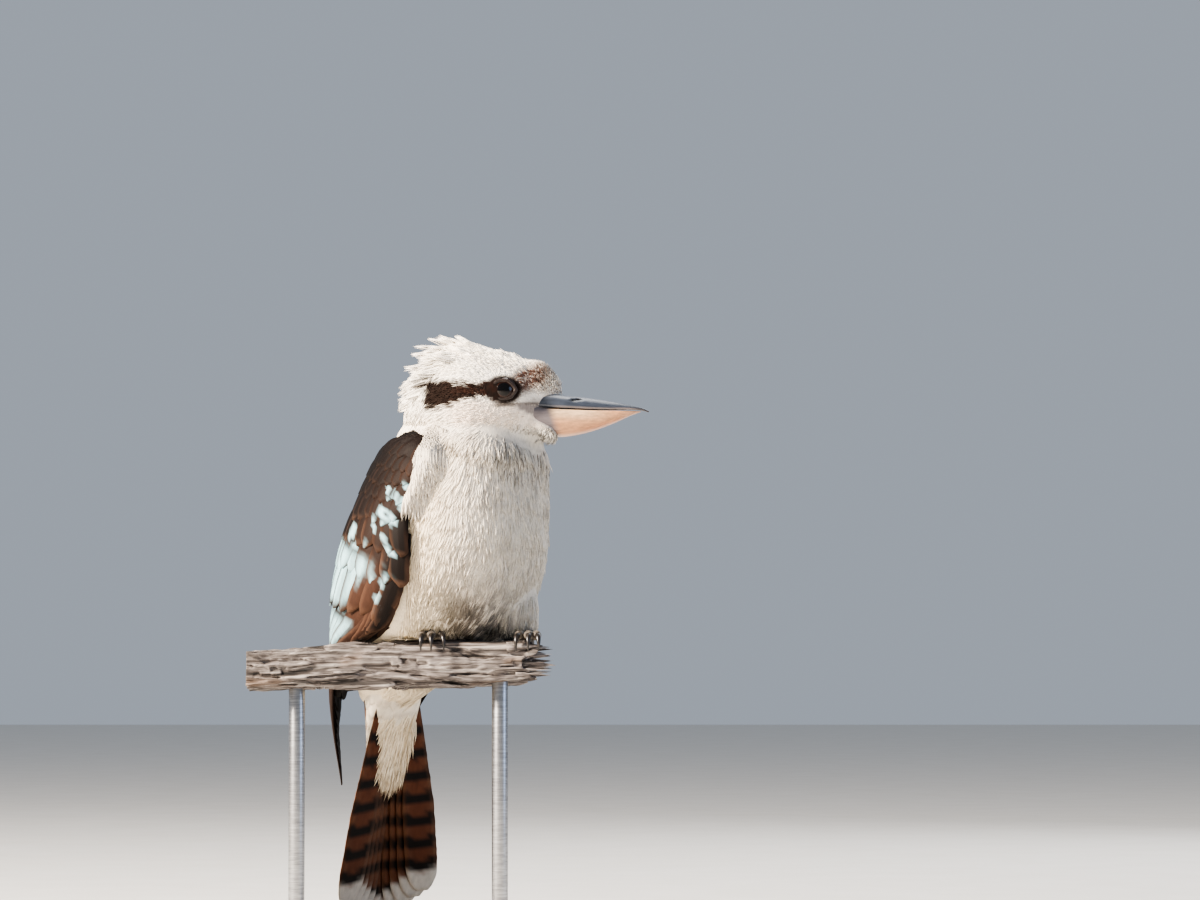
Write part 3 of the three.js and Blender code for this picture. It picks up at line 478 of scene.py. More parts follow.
def head_marks(colours, points, h):
    """Dark stripe from the eye back over the ear, brown lore, speckled forehead and bare gape."""
    x, _, z = h.T
    upper, lower = MASK_EDGES(x)
    grain = np.random.default_rng(15).random(len(points))
    ragged = 2.2 * (ripple(points, 5, 8) - 0.5) + 1.8 * (grain - 0.5)
    mask = smooth(lower - 1.6 + ragged, lower + 1.6 + ragged, z)
    mask = mask * smooth(upper + 1.6 + ragged, upper - 1.6 + ragged, z)
    mask = mask * smooth(-35, -31.5, x + ragged) * smooth(9, 4, x)
    ring = smooth(1.15, 0.85, np.hypot((x - EYE[0] - 0.8) / 10.5, (z - EYE[2]) / 8.2))
    cheek = smooth(-5, -10, z) * smooth(-24, -17, z) * smooth(-30, -10, x)
    colours = mix(colours, "cheek", 0.7 * cheek)
    lore = smooth(1.3, 0.5, np.hypot((x - 24) / 13, (z - 5.5 - 0.35 * (x - 24)) / 8.5))
    speckles = smooth(0.2, 0.6, 0.4 * ripple(points, 2.6, 9) + 0.6 * grain)
    colours = mix(colours, "rufous", lore * (0.6 + 0.38 * speckles))
    flecks = smooth(0.45, 0.7, 0.4 * ripple(points, 2.2, 10) + 0.6 * grain)
    colours = mix(colours, "speckle", 0.75 * smooth(24, 34, x) * smooth(-6, 0, z) * flecks)
    mouth = smooth(20, 28, x) * smooth(-10, -8, z) * smooth(-3.5, -6, z)
    colours = mix(colours, "gape", np.maximum(0.95 * gape_place(h), 0.6 * mouth))
    colours = mix(colours, "mask", np.maximum(mask, ring))
    reddish = mask * smooth(-26, -8, x) * smooth(0.3, 0.7, ripple(points, 4, 12))
    colours = mix(colours, "rufous", 0.25 * reddish)
    line = smooth(1.1, 0.5, np.abs(z + 8.6 - 0.09 * (x - 20))) * smooth(2, 8, x) * smooth(34, 28, x)
    return mix(colours, "mask", 0.7 * line)


def plumage(points):
    """The small feathers' colour at points over the perch."""
    h = into(HEAD, points)
    colours = np.tile(tint("white"), (len(points), 1))
    colours = mix(colours, "cream", 0.55 * smooth(-6, -20, h[:, 2]) + 0.25 * ripple(points, 14, 1))
    return head_marks(body_marks(colours, points, h), points, h)


# Perch: the branch's form, used for its own mesh and to keep the plumage off the wood

BRANCH_Y = (-30.0, 8.0)
BRANCH_THICK = 25.0
BRANCH_X = (-106.0, 50.0)
BRANCH_FALL = 9.0
HOLLOW = {"from": -72.0, "to": -16.0, "slope": 14.0, "deep": 20.0}


def branch_span(x):
    """The middle and the half width of the branch, which is hollowed out at its back edge."""
    worn = HOLLOW["deep"] * smooth(HOLLOW["from"], HOLLOW["from"] + HOLLOW["slope"], x)
    worn = worn * smooth(-HOLLOW["to"], HOLLOW["slope"] - HOLLOW["to"], -x)
    return (BRANCH_Y[0] + BRANCH_Y[1] - worn) / 2, (BRANCH_Y[1] - BRANCH_Y[0] - worn) / 2


def branch_sag(x):
    return 7 * np.clip((-20 - x) / 90, 0, 1) ** 1.3


def on_branch(x, angle, grow):
    """Points round the branch, which is flat on top, furrowed lengthwise and lower towards its back."""
    c, s = np.cos(angle), np.sin(angle)
    calm = 1 - np.clip(np.abs(x - 22) / 60, 0, 1)
    groove = 0.9 * np.sin(5 * angle + x / 31) + 0.8 * np.sin(9 * angle - x / 23 + 1)
    groove = groove + 0.6 * np.sin(14 * angle + x / 17 + 2)
    ridge = groove * (0.7 + (np.where(s > 0, 0.1, 0.55) - 0.7) * calm) + grow
    middle, half = branch_span(x)
    y = np.sign(c) * np.sqrt(np.abs(c)) * (half - 0.6) + c * ridge
    thin = 1 - 0.38 * np.clip((x - 16) / 40, 0, 1)
    thin = np.minimum(thin, 1 - 0.45 * np.clip((-20 - x) / 90, 0, 1))
    thick = BRANCH_THICK * np.where(s < 0, thin, 1)
    z = np.sign(s) * np.sqrt(np.abs(s)) * thick / 2 + s * ridge
    fall = BRANCH_FALL * np.clip(y / half + 0.2, 0, 1) ** 1.2 * np.where(s > 0, 1, 0.3)
    return np.stack([x, middle + y, PERCH_TOP - BRANCH_THICK / 2 - 0.4 + z - branch_sag(x) - fall], -1)


def branch_grid(grow, rings, sides):
    along = np.clip((np.arange(rings + 1) - 1) / (rings - 2), 0, 1)[:, None]
    angle = (np.arange(sides) * 2 * np.pi / sides)[None, :]
    x = BRANCH_X[0] - grow + (BRANCH_X[1] - BRANCH_X[0] + 2 * grow) * along
    grid = on_branch(x + 0 * angle, angle + 0 * x, grow)
    jag = 3.2 * np.sin(7 * angle + 0.6) + 2.4 * np.sin(11 * angle + 2)
    grid[..., 0] += np.clip((x - 34) / 16, 0, 1) ** 2 * jag
    for end in (0, -1):
        grid[end] = grid[end].mean(0)
    return grid


def off_the_wood(points):
    """Lifts points that would sink into the top of the perch."""
    x, y, z = points.T
    middle, half = branch_span(x)
    top = PERCH_TOP + 0.5 - branch_sag(x) - BRANCH_FALL * np.clip((y - middle) / half + 0.2, 0, 1) ** 1.2
    over = (np.abs(y - middle) < half + 1) & (x > BRANCH_X[0]) & (x < BRANCH_X[1] + 12)
    inside = over & (z < top) & (z > top - 13)
    points[:, 2] = np.where(inside, top + 0.12 * (z - top), z)
    return points


# Skin

# Forms under the feathers, from one point over the perch to another, with a radius at each
THIGHS = [
    {"top": (2, -4, 40), "low": (-5, -11, 2), "wide": (17, 12)},
    {"top": (33, 7, 46), "low": (44.5, -6, 2), "wide": (22, 12)},
]
THROAT = {"top": (50, -9, 118), "low": (49, 0, 55), "wide": (11, 13.2)}
TAIL_FROM = 158.0
TAIL_MIDDLE = 20.0
tail_at = on_trunk(TAIL_FROM, 0.0, 0.0, TAIL_MIDDLE, -TAIL_MIDDLE)
TAIL = BIRD @ move(*tail_at) @ turn("X", math.radians(6)) @ turn("Y", LEAN - math.radians(7))
# Down the tail, then half width and how far its back and underside stand off its middle
tail_root_size = track([
    [0, 19.2, 16.2, 12.2], [14, 17.5, 11.5, 8], [30, 16.5, 6.5, 4.6], [48, 15.5, 4.2, 3],
    [60, 14, 3.4, 2.4],
])


def ring_angles(rings, sides):
    place = np.linspace(0, 1, rings + 1)[:, None]
    angle = (np.arange(sides) * 2 * np.pi / sides)[None, :]
    return place + 0 * angle, angle + 0 * place


def trunk_grid(grow, rings=60, sides=72):
    place, angle = ring_angles(rings, sides)
    down = -22 + 202 * place
    close = np.minimum(1, np.minimum(np.sqrt(place / 0.12), np.sqrt(np.maximum(0, (1 - place) / 0.05))))
    wide, back, breast = trunk_size(down) + grow
    middle, deep = (back - breast) / 2, (back + breast) / 2 * close
    return placed(BIRD, on_trunk(down, angle, wide * close, middle + deep, deep - middle))


def head_grid(grow, rings=60, sides=72):
    place, angle = ring_angles(rings, sides)
    grid = placed(HEAD, on_head(place, angle, grow))
    grid[0], grid[-1] = grid[0].mean(0), grid[-1].mean(0)
    return grid


def thigh_grid(thigh, grow, rings=24, sides=32):
    place, angle = ring_angles(rings, sides)
    centre = np.array(thigh["top"]) + (np.array(thigh["low"]) - thigh["top"]) * place[..., None]
    wide = thigh["wide"][0] + (thigh["wide"][1] - thigh["wide"][0]) * place
    r = (wide + grow) * np.sqrt(np.maximum(0, 1 - np.abs(2 * place - 1) ** 4))
    around = np.stack([np.cos(angle) * r, np.sin(angle) * r, 0 * r], -1)
    return centre + around + [0, 0, PERCH_TOP]


def tail_root_grid(grow, rings=30, sides=40):
    place, angle = ring_angles(rings, sides)
    down = -14 + 70 * place
    close = np.minimum(1, np.minimum(np.sqrt(place / 0.03), np.sqrt(np.maximum(0, (1 - place) / 0.12))))
    wide, back, under = (tail_root_size(np.maximum(down, 0)) + grow) * close
    away = np.where(np.cos(angle) > 0, -back, -under) * np.cos(angle)
    return placed(TAIL, np.stack([away, np.sin(angle) * wide, -down], -1))


def chin_grid(rings=30, sides=40):
    """The feathered chin, which laps over the base of the lower bill and ends in a point under it."""
    place, angle = ring_angles(rings, sides)
    x = 12 + 28.5 * place
    keel, mouth, wide = LOWER_BILL(np.maximum(x, 24))
    top = mouth + 1.5 + (keel - mouth) * np.clip((x - 19) / 25, 0, 1) ** 0.85
    close = np.minimum(1, np.minimum(np.sqrt(place / 0.1), np.sqrt(np.maximum(0, (1 - place) / 0.12))))
    low = keel - 0.1 - 0.8 * (1 - place)
    c, s = np.cos(angle), np.sin(angle)
    y = (wide + 0.5) * close * np.sign(c) * np.abs(c) ** 0.75
    z = (top + low) / 2 + (top - low) / 2 * close * np.sign(s) * np.abs(s) ** 0.75
    return placed(HEAD, np.stack([x, y, z], -1))


# Voxels of the joined forms and of the finished skin, in millimetres
FORM_VOXEL = 1.7
SKIN_VOXEL = 1.6


def make_skin(material):
    """Head, neck, trunk, thighs and tail root as one closed skin, with room for the perch cut out."""
    depth = bpy.context.scene.kookaburra_sizes.coat_depth / MM
    forms = [trunk_grid(-depth), head_grid(-0.35 * depth), tail_root_grid(-0.5 * depth), chin_grid()]
    forms += [thigh_grid(form, -0.6 * depth) for form in (*THIGHS, THROAT)]
    pieces = [build(f"form_{i}", *rounded(grid), material) for i, grid in enumerate(forms)]
    for made in pieces:
        outward(made)
    skin = joined("skin", pieces)
    modified(skin, "REMESH", mode="VOXEL", voxel_size=FORM_VOXEL * MM)
    wood = build("wood_room", *rounded(branch_grid(1.2, 40, 48)), material)
    outward(wood)
    modified(skin, "BOOLEAN", object=wood, operation="DIFFERENCE", solver="MANIFOLD")
    bpy.data.objects.remove(wood)
    modified(skin, "REMESH", mode="VOXEL", voxel_size=SKIN_VOXEL * MM)
    modified(skin, "SMOOTH", factor=0.4, iterations=3)
    bpy.ops.object.mode_set(mode="EDIT")
    bpy.ops.mesh.select_all(action="SELECT")
    bpy.ops.uv.smart_project(angle_limit=math.radians(66), island_margin=0.004)
    bpy.ops.object.mode_set(mode="OBJECT")
    skin.data.uv_layers[0].name = "OFBake"
    skin.data.polygons.foreach_set("use_smooth", np.ones(len(skin.data.polygons), bool))
    paint(skin, plumage(points_of(skin)))
    wears(skin, "body_plumage", "head", "neck", "torso")


def points_of(made):
    co = np.empty(len(made.data.vertices) * 3, np.float32)
    made.data.vertices.foreach_get("co", co)
    return co.reshape(-1, 3) / MM + BASE_MIDDLE


def skin_faces(skin):
    """Corners, corner normals and corner UVs of the skin's triangles."""
    mesh = skin.data
    mesh.calc_loop_triangles()
    count = len(mesh.loop_triangles)
    tri, loops = np.empty(count * 3, np.int32), np.empty(count * 3, np.int32)
    mesh.loop_triangles.foreach_get("vertices", tri)
    mesh.loop_triangles.foreach_get("loops", loops)
    normals = np.empty(len(mesh.vertices) * 3, np.float32)
    mesh.vertices.foreach_get("normal", normals)
    uv = np.empty(len(mesh.loops) * 2, np.float32)
    mesh.uv_layers["OFBake"].data.foreach_get("uv", uv)
    tri, loops = tri.reshape(-1, 3), loops.reshape(-1, 3)
    return points_of(skin)[tri], normals.reshape(-1, 3)[tri], uv.reshape(-1, 2)[loops]


def unit(v):
    return v / np.maximum(np.linalg.norm(v, axis=-1, keepdims=True), 1e-9)


def level(way, out):
    """A direction laid flat on the surface that out points away from."""
    return unit(way - out * (way * out).sum(1, keepdims=True))


def scatter(corners, normals, uvs, per_mm2, seed):
    """Roots spread over triangles: their place, normal and UV."""
    dice = np.random.default_rng(seed)
    across = np.cross(corners[:, 1] - corners[:, 0], corners[:, 2] - corners[:, 0])
    area = np.linalg.norm(across, axis=1) / 2
    count = np.floor(area * per_mm2 + dice.random(len(area))).astype(int)
    pick = np.repeat(np.arange(len(area)), count)
    a, b = dice.random((2, len(pick)))
    flip = a + b > 1
    a, b = np.where(flip, 1 - a, a), np.where(flip, 1 - b, b)
    share = np.stack([1 - a - b, a, b], 1)[..., None]
    root, out, uv = ((part[pick] * share).sum(1) for part in (corners, normals, uvs))
    return root, unit(out), uv


# Coat: thin tapered tufts of three sides, laid along the body

# The three rings below a tuft's tip: their place and width, and then the brightness of its ten points,
# painted darker towards the root as shade under the tufts that lie over it
TUFT_AT = (0, 0.38, 0.74)
TUFT_WIDE = (0.75, 1, 0.62)
TUFT_PAINTED_SHADE = np.repeat([0.9, 0.98, 1.02, 1.04], [3, 3, 3, 1])
# Tufts per square mm on the body, and how many more on the head
TUFTS = 1.9
HEAD_TUFTS = 1.05
# Tufts in each clump, on average
TUFTS_IN_CLUMP = 11
# Each tuft's patch on the unwrapped skin is 0.003 across
TUFT_PATCH = 0.0015 * np.array([
    [-1, -1], [1, -1], [0, -1], [-1, 0], [1, 0], [0, 0], [-0.7, 0.6], [0.7, 0.6], [0, 0.6], [0, 1],
])


def tuft_faces():
    faces = [(0, 2, 1)]
    for ring in (0, 3):
        for a, b in ((0, 1), (1, 2), (2, 0)):
            faces += [(ring + a, ring + b, ring + 3 + b), (ring + a, ring + 3 + b, ring + 3 + a)]
    return np.array(faces + [(6, 7, 9), (7, 8, 9), (8, 6, 9)])


def tuft_points(root, along, out, long, wide, rise, curl, target=None, pull=0.0):
    """Ten points for each tuft. Its tip is drawn towards its target by the share that pull gives."""
    side = np.cross(out, along)

    def centre(u):
        forward = long * np.cos(rise) * u
        lift = long * (np.sin(rise) * u - curl * u * u) - 0.9 * (1 - u) ** 2
        return root + along * forward[:, None] + out * lift[:, None]

    drift = 0 if target is None else (target - centre(1.0)) * np.asarray(pull).reshape(-1, 1)
    points = []
    for u, share in zip(TUFT_AT, TUFT_WIDE):
        middle, half = centre(u) + drift * u * u, (wide * share / 2)[:, None]
        points += [middle - side * half, middle + side * half, middle + out * half * 0.7]
    points.append(centre(1.0) + drift)
    return np.stack(points, 1)


def make_tufts(name, points, colours, uv, material, slot):
    """One mesh of many tufts, with one colour and one place on the unwrapped skin for each."""
    faces = (tuft_faces()[None] + 10 * np.arange(len(points))[:, None, None]).reshape(-1, 3)
    made = build(name, off_the_wood(points.reshape(-1, 3)), faces, material)
    # each tuft is painted darker towards its root, a painted shade
    paint(made, colours[:, None] * TUFT_PAINTED_SHADE[None, :, None])
    unwrap(made, uv[:, None] + TUFT_PATCH[None])
    wears(made, slot)


def nearest(points, centres):
    """For each point, which centre is the nearest."""
    tree = kdtree.KDTree(len(centres))
    for i, centre in enumerate(centres):
        tree.insert(centre, i)
    tree.balance()
    return np.array([tree.find(point)[1] for point in points])


def lie(root, out):
    """The way that the coat lies: back from the bill over the head, and down the body."""
    h = into(HEAD, root)
    x, _, z = h.T
    from_bill = unit(h - np.array([60.0, 0, -9]))
    from_bill[:, 2] -= 0.9 * smooth(-5, -35, x) * smooth(22, 6, z)
    axis = placed(BIRD, np.array([[DOWN[0], 0, DOWN[1]]])) - BIRD[:3, 3]
    down = unit(np.tile(axis, (len(root), 1)))
    low = smooth(60, 15, root[:, 2] - PERCH_TOP) * smooth(-60, -90, -body_place(root)[1])
    down = unit(down + low[:, None] * np.array([0, -0.35, -0.6]))
    body = smooth(-13, -33, z - 0.12 * x)[:, None]
    return level(unit(unit(from_bill) * (1 - body) + down * body), out)


def coat_plan(root):
    """Tufts per square mm, their length and width, their rise in degrees, and how much they clump."""
    h = into(HEAD, root)
    x, y, z = h.T
    down, around, side = body_place(root)
    behind = into(TAIL, root)[:, 0]
    head = smooth(-34, -20, z - 0.12 * x)
    eye = np.hypot((x - EYE[0]) / 1.15, z - EYE[2])
    back_edge, front_edge = wing_reach(np.clip(down, 0, 200))
    front_edge = front_edge - LEFT_TUCK * (side > 0) - 16 * smooth(112, 135, down)
    under_wing = smooth(back_edge + 3, back_edge + 9, around)
    under_wing = under_wing * smooth(front_edge + 1, front_edge - 4, around)
    under_wing = under_wing * smooth(10, 18, down) * smooth(178, 165, down)
    mantle = smooth(16, 24, down) * smooth(70, 60, around) * smooth(160, 150, down)
    over_tail = smooth(146, 153, down) * smooth(2, -1, behind)
    bare = (np.abs(y) > 12) & (eye < 6.9) | (gape_place(h) > 0.5)
    density = TUFTS + HEAD_TUFTS * head
    density = density * (1 - under_wing) * (1 - 0.8 * mantle) * (1 - over_tail) * ~bare
    density = density * (1 + 0.9 * smooth(14, 8, eye)) * (1 + 0.7 * smooth(20, 30, x) * head)

    face = head * smooth(-6, 6, x) * smooth(16, 4, z)
    chin = smooth(22, 28, x) * smooth(-9, -14, z)
    nape = smooth(-14, -30, x) * smooth(-2, -12, z) * smooth(-50, -38, z)
    front = smooth(25, 33, x) * smooth(-4, 2, z) * head
    rear = smooth(-8, -22, x) * smooth(4, 14, z)
    under_tail = smooth(148, 162, down) * smooth(-1, 3, behind)
    long = 12 - 5.2 * head + 2 * smooth(90, 150, down)
    long = long * (1 - 0.62 * smooth(15, 8, eye) * head) * (1 - 0.6 * smooth(18, 32, x) * head)
    long = long * (1 - 0.3 * face) * (1 + 0.55 * nape) * (1 + front)
    long = long + 1.2 * smooth(8, 18, z) * head * (1 - front)
    long = long * (1 + 0.3 * rear * head) * (1 - 0.35 * chin * head) + 8 * under_tail
    wide = 1.22 - 0.32 * head - 0.2 * head * smooth(18, 32, x) - 0.1 * face + 0.5 * under_tail
    rise = 7 - 2 * face - 4 * chin * head + 3 * smooth(4, 16, z) * head + 4 * nape + 30 * front
    rise = rise + 5 * smooth(8, 18, z) * head + 7 * under_tail
    return density, long, wide, rise, 0.38 - 0.1 * head


def coat_parts(root):
    """Which tufts belong to each piece of the coat."""
    h = into(HEAD, root)
    on_the_head = h[:, 2] - 0.12 * h[:, 0] > -27
    down, around, sign = body_place(root)
    crown, front = h[:, 2] > 3, h[:, 0] > -4
    parts = {}
    for side, here in (("right", h[:, 1] < 0), ("left", h[:, 1] >= 0)):
        parts[f"coat_crown_{side}"] = on_the_head & here & crown
        parts[f"coat_cheek_{side}"] = on_the_head & here & ~crown & front
        parts[f"coat_ear_{side}"] = on_the_head & here & ~crown & ~front
    parts["coat_neck"] = ~on_the_head & (down < 22)
    body = ~on_the_head & (down >= 22)
    for name, there in (("breast", down < 88), ("belly", down >= 88)):
        for side, here in (("right", sign < 0), ("left", sign >= 0)):
            parts[f"coat_{name}_{side}"] = body & (around >= 90) & there & here
    parts["coat_back"] = body & (around < 90)
    return parts


def make_coat(material, skin):
    corners, normals, uvs = skin_faces(skin)
    thinned = bpy.context.scene.kookaburra_sizes.coat_density * 1
    density = coat_plan(corners.mean(1))[0] * thinned
    root, out, uv = scatter(corners, normals, uvs, density, 21)
    _, long, wide, rise, clump = coat_plan(root)
    h = into(HEAD, root)
    dice = np.random.default_rng(22)
    count = len(root)
    along = lie(root, out)
    side = np.cross(out, along)
    yaw = dice.normal(0, 0.16, count) + 0.35 * (ripple(root, 24, 23) - 0.5)
    along = unit(along * np.cos(yaw)[:, None] + side * np.sin(yaw)[:, None])
    long = long * dice.uniform(0.72, 1.2, count)
    wide = wide * dice.uniform(0.75, 1.2, count)
    rise = np.radians(rise + dice.normal(0, 2.6 + 4 * smooth(4, 14, h[:, 2]), count))

    # each tuft leans towards the tip of the middle one of its clump
    centres = dice.choice(count, count // TUFTS_IN_CLUMP, replace=False)
    owner = centres[nearest(root, root[centres])]
    target = root[owner] + along[owner] * (long[owner] * np.cos(rise[owner]))[:, None]
    target = target + out[owner] * (long[owner] * (np.sin(rise[owner]) - 0.1))[:, None]
    points = tuft_points(root, along, out, long, wide, rise, 0.12, target, clump)

    colours = plumage(root + out + along * (0.55 * long)[:, None]) * dice.uniform(0.93, 1.06, (count, 1))
    colours = colours * dice.uniform(0.96, 1.03, count)[owner][:, None]
    throat = smooth(2, 10, h[:, 0]) * smooth(-19, -23, h[:, 2]) * smooth(-46, -38, h[:, 2])
    lines = dice.random(count) < 0.22 * throat
    colours[lines] = colours[lines] * 0.4 + np.array(srgb(SHADES["streak"])) * 0.25

    # tufts under the tail that would come out behind it or beside it are left out
    x, y, _ = np.moveaxis(into(TAIL, points).reshape(count, -1, 3), 2, 0)
    kept = (body_place(root)[0] < 146) | ((x.min(1) > 0.5) & (np.abs(y).max(1) < 17))
    for name, part in coat_parts(root).items():
        part = part & kept
        on_body = name.startswith(("coat_breast", "coat_belly", "coat_back"))
        slot = "body_plumage" if on_body else "head_plumage"
        make_tufts(name, points[part], colours[part], uv[part], material, slot)


# Crest: place from the nape to the bill, then the locks' length, against the longest's, and rise
CREST_AT = (0.09, 0.15, 0.22, 0.32, 0.42, 0.52, 0.66)
CREST_TALL = (0.6, 0.75, 1.0, 1.2, 1.15, 0.8, 0.5)
CREST_RISE = (11, 20, 32, 41, 42, 30, 19)
LOCKS = 135
STRANDS_IN_LOCK = 16


def make_crest(material, skin):
    """Pointed locks over the crown and nape, each a bunch of fine tufts that meet at its tip."""
    dice = np.random.default_rng(31)
    place = dice.uniform(CREST_AT[0], CREST_AT[-1], LOCKS)
    angle = np.radians(90 + dice.uniform(-1, 1, LOCKS) * (70 - 34 * smooth(0.2, 0.7, place)))
    tall, rise = (np.interp(place, CREST_AT, values) for values in (CREST_TALL, CREST_RISE))
    long = bpy.context.scene.kookaburra_sizes.crest_length / MM * tall * dice.uniform(0.75, 1.15, LOCKS)
    rise = np.radians(rise * (0.55 + 0.45 * np.sin(angle)) + dice.normal(0, 5, LOCKS))
    root = placed(HEAD, on_head(place, angle, -1.5))
    out = unit(placed(HEAD, on_head(place, angle, 3)) - root)
    ahead = placed(HEAD, on_head(np.maximum(place - 0.04, 0.005), angle, -1.5))
    along = level(unit(ahead - root), out)
    tip = root + along * (long * np.cos(rise))[:, None] + out * (long * (np.sin(rise) - 0.1))[:, None]
    pick = np.repeat(np.arange(LOCKS), STRANDS_IN_LOCK)
    count = len(pick)
    side = np.cross(out, along)[pick]
    root = root[pick] + side * dice.normal(0, 1.7, (count, 1))
    root = root + along[pick] * dice.normal(0, 1.8, (count, 1))
    own = long[pick] * dice.uniform(0.72, 1.04, count)
    wide = dice.uniform(0.8, 1.3, count)
    target = tip[pick] + dice.normal(0, 0.5, (count, 3))
    pull = dice.uniform(0.7, 0.98, count)
    points = tuft_points(root, along[pick], out[pick], own, wide, rise[pick], 0.12, target, pull)
    colours = plumage(root + out[pick] * 2 + along[pick] * 4) * dice.uniform(0.93, 1.06, (count, 1))
    corners, _, uvs = skin_faces(skin)
    uv = uvs.mean(1)[nearest(root, corners.mean(1))]
    make_tufts("crest_locks", points, colours, uv, material, "head_plumage")


# Feathers tried for each wing's fringe, of which those near its ends are left out
FRINGE_TRIED = 3400


def make_fringe(material, skin):
    """Longer breast and shoulder feathers that lap over the front edge of each folded wing."""
    dice = np.random.default_rng(35)
    corners, _, uvs = skin_faces(skin)
    middle, uv_middle = corners.mean(1), uvs.mean(1)
    for side, name in ((-1, "fringe_right"), (1, "fringe_left")):
        down = dice.uniform(-2, 50 if side < 0 else 62, FRINGE_TRIED)
        front_edge = wing_edges(np.maximum(down, 0), side)[1]
        width = 2 + 9 * smooth(28, 10, down)
        start = front_edge + 10 - (10 + width) * dice.random(FRINGE_TRIED)
        keep = dice.random(FRINGE_TRIED) < smooth(42, 28, down) + (side > 0) * smooth(58, 50, down)
        down, start, front_edge = down[keep], start[keep], front_edge[keep]
        count = len(down)
        over = smooth(10, -3, start - front_edge)
        base = -4.2 + 7.2 * over * smooth(-3, 10, down) - 2 * smooth(5, -2, down)
        root = on_wing(side, down, start, base)
        toward = on_wing(side, down + 9, start + dice.uniform(0.5, 5, count), base)
        out = unit(on_wing(side, down, start, base + 4) - root)
        along = level(unit(toward - root), out)
        long = dice.uniform(8, 12, count)
        rise = np.radians(dice.uniform(11, 17, count) - over)
        points = tuft_points(root, along, out, long, dice.uniform(0.8, 1.3, count), rise, 0.1)
        colours = np.tile(np.array(srgb(SHADES["cream"])), (count, 1))
        colours = mix(colours, "breast", dice.random(count))
        colours = mix(colours, "streak", 0.5 * (dice.random(count) < 0.2))
        colours = colours * dice.uniform(0.92, 1.05, (count, 1))
        make_tufts(name, points, colours, uv_middle[nearest(root, middle)], material, "body_plumage")


# Vanes: closed feather blades laid in rows over a surface

# Faces along and across a blade, and how wide its root is against its widest place
VANE_STEPS = (12, 4)
VANE_ROOT = 0.6


def make_vanes(name, count, at, colours, material, slot, steps=VANE_STEPS):
    """One mesh of closed blades. For u from root to tip and v across, at gives their points and
    colours their colours, as arrays of one row for each feather."""
    along, across = steps
    u, v = np.meshgrid(np.linspace(0, 1, along + 1), np.linspace(-1, 1, across + 1), indexing="ij")
    u, v = u[None].repeat(count, 0), v[None].repeat(count, 0)
    top, under = at(u, v, 1), at(u, v, -1)
    points = np.stack([top, under], 1)
    size = (along + 1) * (across + 1)
    index = np.arange(size).reshape(along + 1, across + 1)
    quads = np.stack([index[:-1, :-1], index[:-1, 1:], index[1:, 1:], index[1:, :-1]], -1).reshape(-1, 4)
    rim = np.concatenate([index[0, :-1], index[:-1, -1], index[-1, :0:-1], index[:0:-1, 0]])
    after = np.roll(rim, -1)
    edge = np.stack([rim, rim + size, after + size, after], -1)
    pattern = np.concatenate([quads, quads[:, ::-1] + size, edge])
    corner = top[:, 0, 0]
    root_line, side_line = top[:, 0, -1] - corner, top[:, along // 2, 0] - corner
    if (np.cross(root_line, side_line) * (corner - under[:, 0, 0])).sum() > 0:
        pattern = pattern[:, ::-1]
    faces = (pattern[None] + 2 * size * np.arange(count)[:, None, None]).reshape(-1, 4)
    made = build(name, points, faces, material)
    shade = colours(u, v)
    # the underside gets 0.6 of the top's colour, a painted shade
    paint(made, np.stack([shade, shade * 0.6], 1))
    long = np.linalg.norm(np.diff(top[:, :, across // 2], axis=1), axis=-1).sum(1)
    wide = np.linalg.norm(top[:, along // 2, -1] - top[:, along // 2, 0], axis=-1)
    barb = u * long[:, None, None] + np.abs(v) * wide[:, None, None] * -0.7
    quill = np.stack([barb, v * wide[:, None, None] / 2, np.arange(count)[:, None, None] * 40.0 + 0 * u], -1)
    layer = made.data.attributes.new("quill", "FLOAT_VECTOR", "POINT")
    layer.data.foreach_set("vector", np.stack([quill, quill], 1).astype(np.float32).ravel())
    # each feather has its own cell, top and underside side by side
    cells = math.ceil(math.sqrt(count))
    cell = np.stack([np.arange(count) % cells, np.arange(count) // cells], -1)[:, None, None]
    place = np.stack([0.04 + 0.21 * (v + 1), 0.05 + 0.9 * u], -1)
    uv = np.stack([cell + place, cell + place + [0.5, 0]], 1) / cells
    unwrap(made, uv)
    return wears(made, slot)


def vane_shape(u, blunt):
    """A blade's half width against its widest. It rounds off from blunt to its tip."""
    stem = VANE_ROOT + (1 - VANE_ROOT) * np.clip(u / 0.35, 0, 1)
    tip = np.sqrt(np.maximum(0.02, 1 - ((u - blunt) / (1.015 - blunt)) ** 2))
    return np.where(u < blunt, stem, tip)


def ragged(u, v, seed, amount=0.1):
    """Uneven edges, as a share of a blade's half width."""
    dice = np.random.default_rng(seed)
    return 1 - amount * dice.random(u.shape) * (np.abs(v) > 0.99) * smooth(0.15, 0.4, u)


def shades(*codes):
    return [np.array(srgb(code)) for code in codes]


def blend(colours, shade, weight):
    return colours + (shade - colours) * np.clip(weight, 0, 1)[..., None]


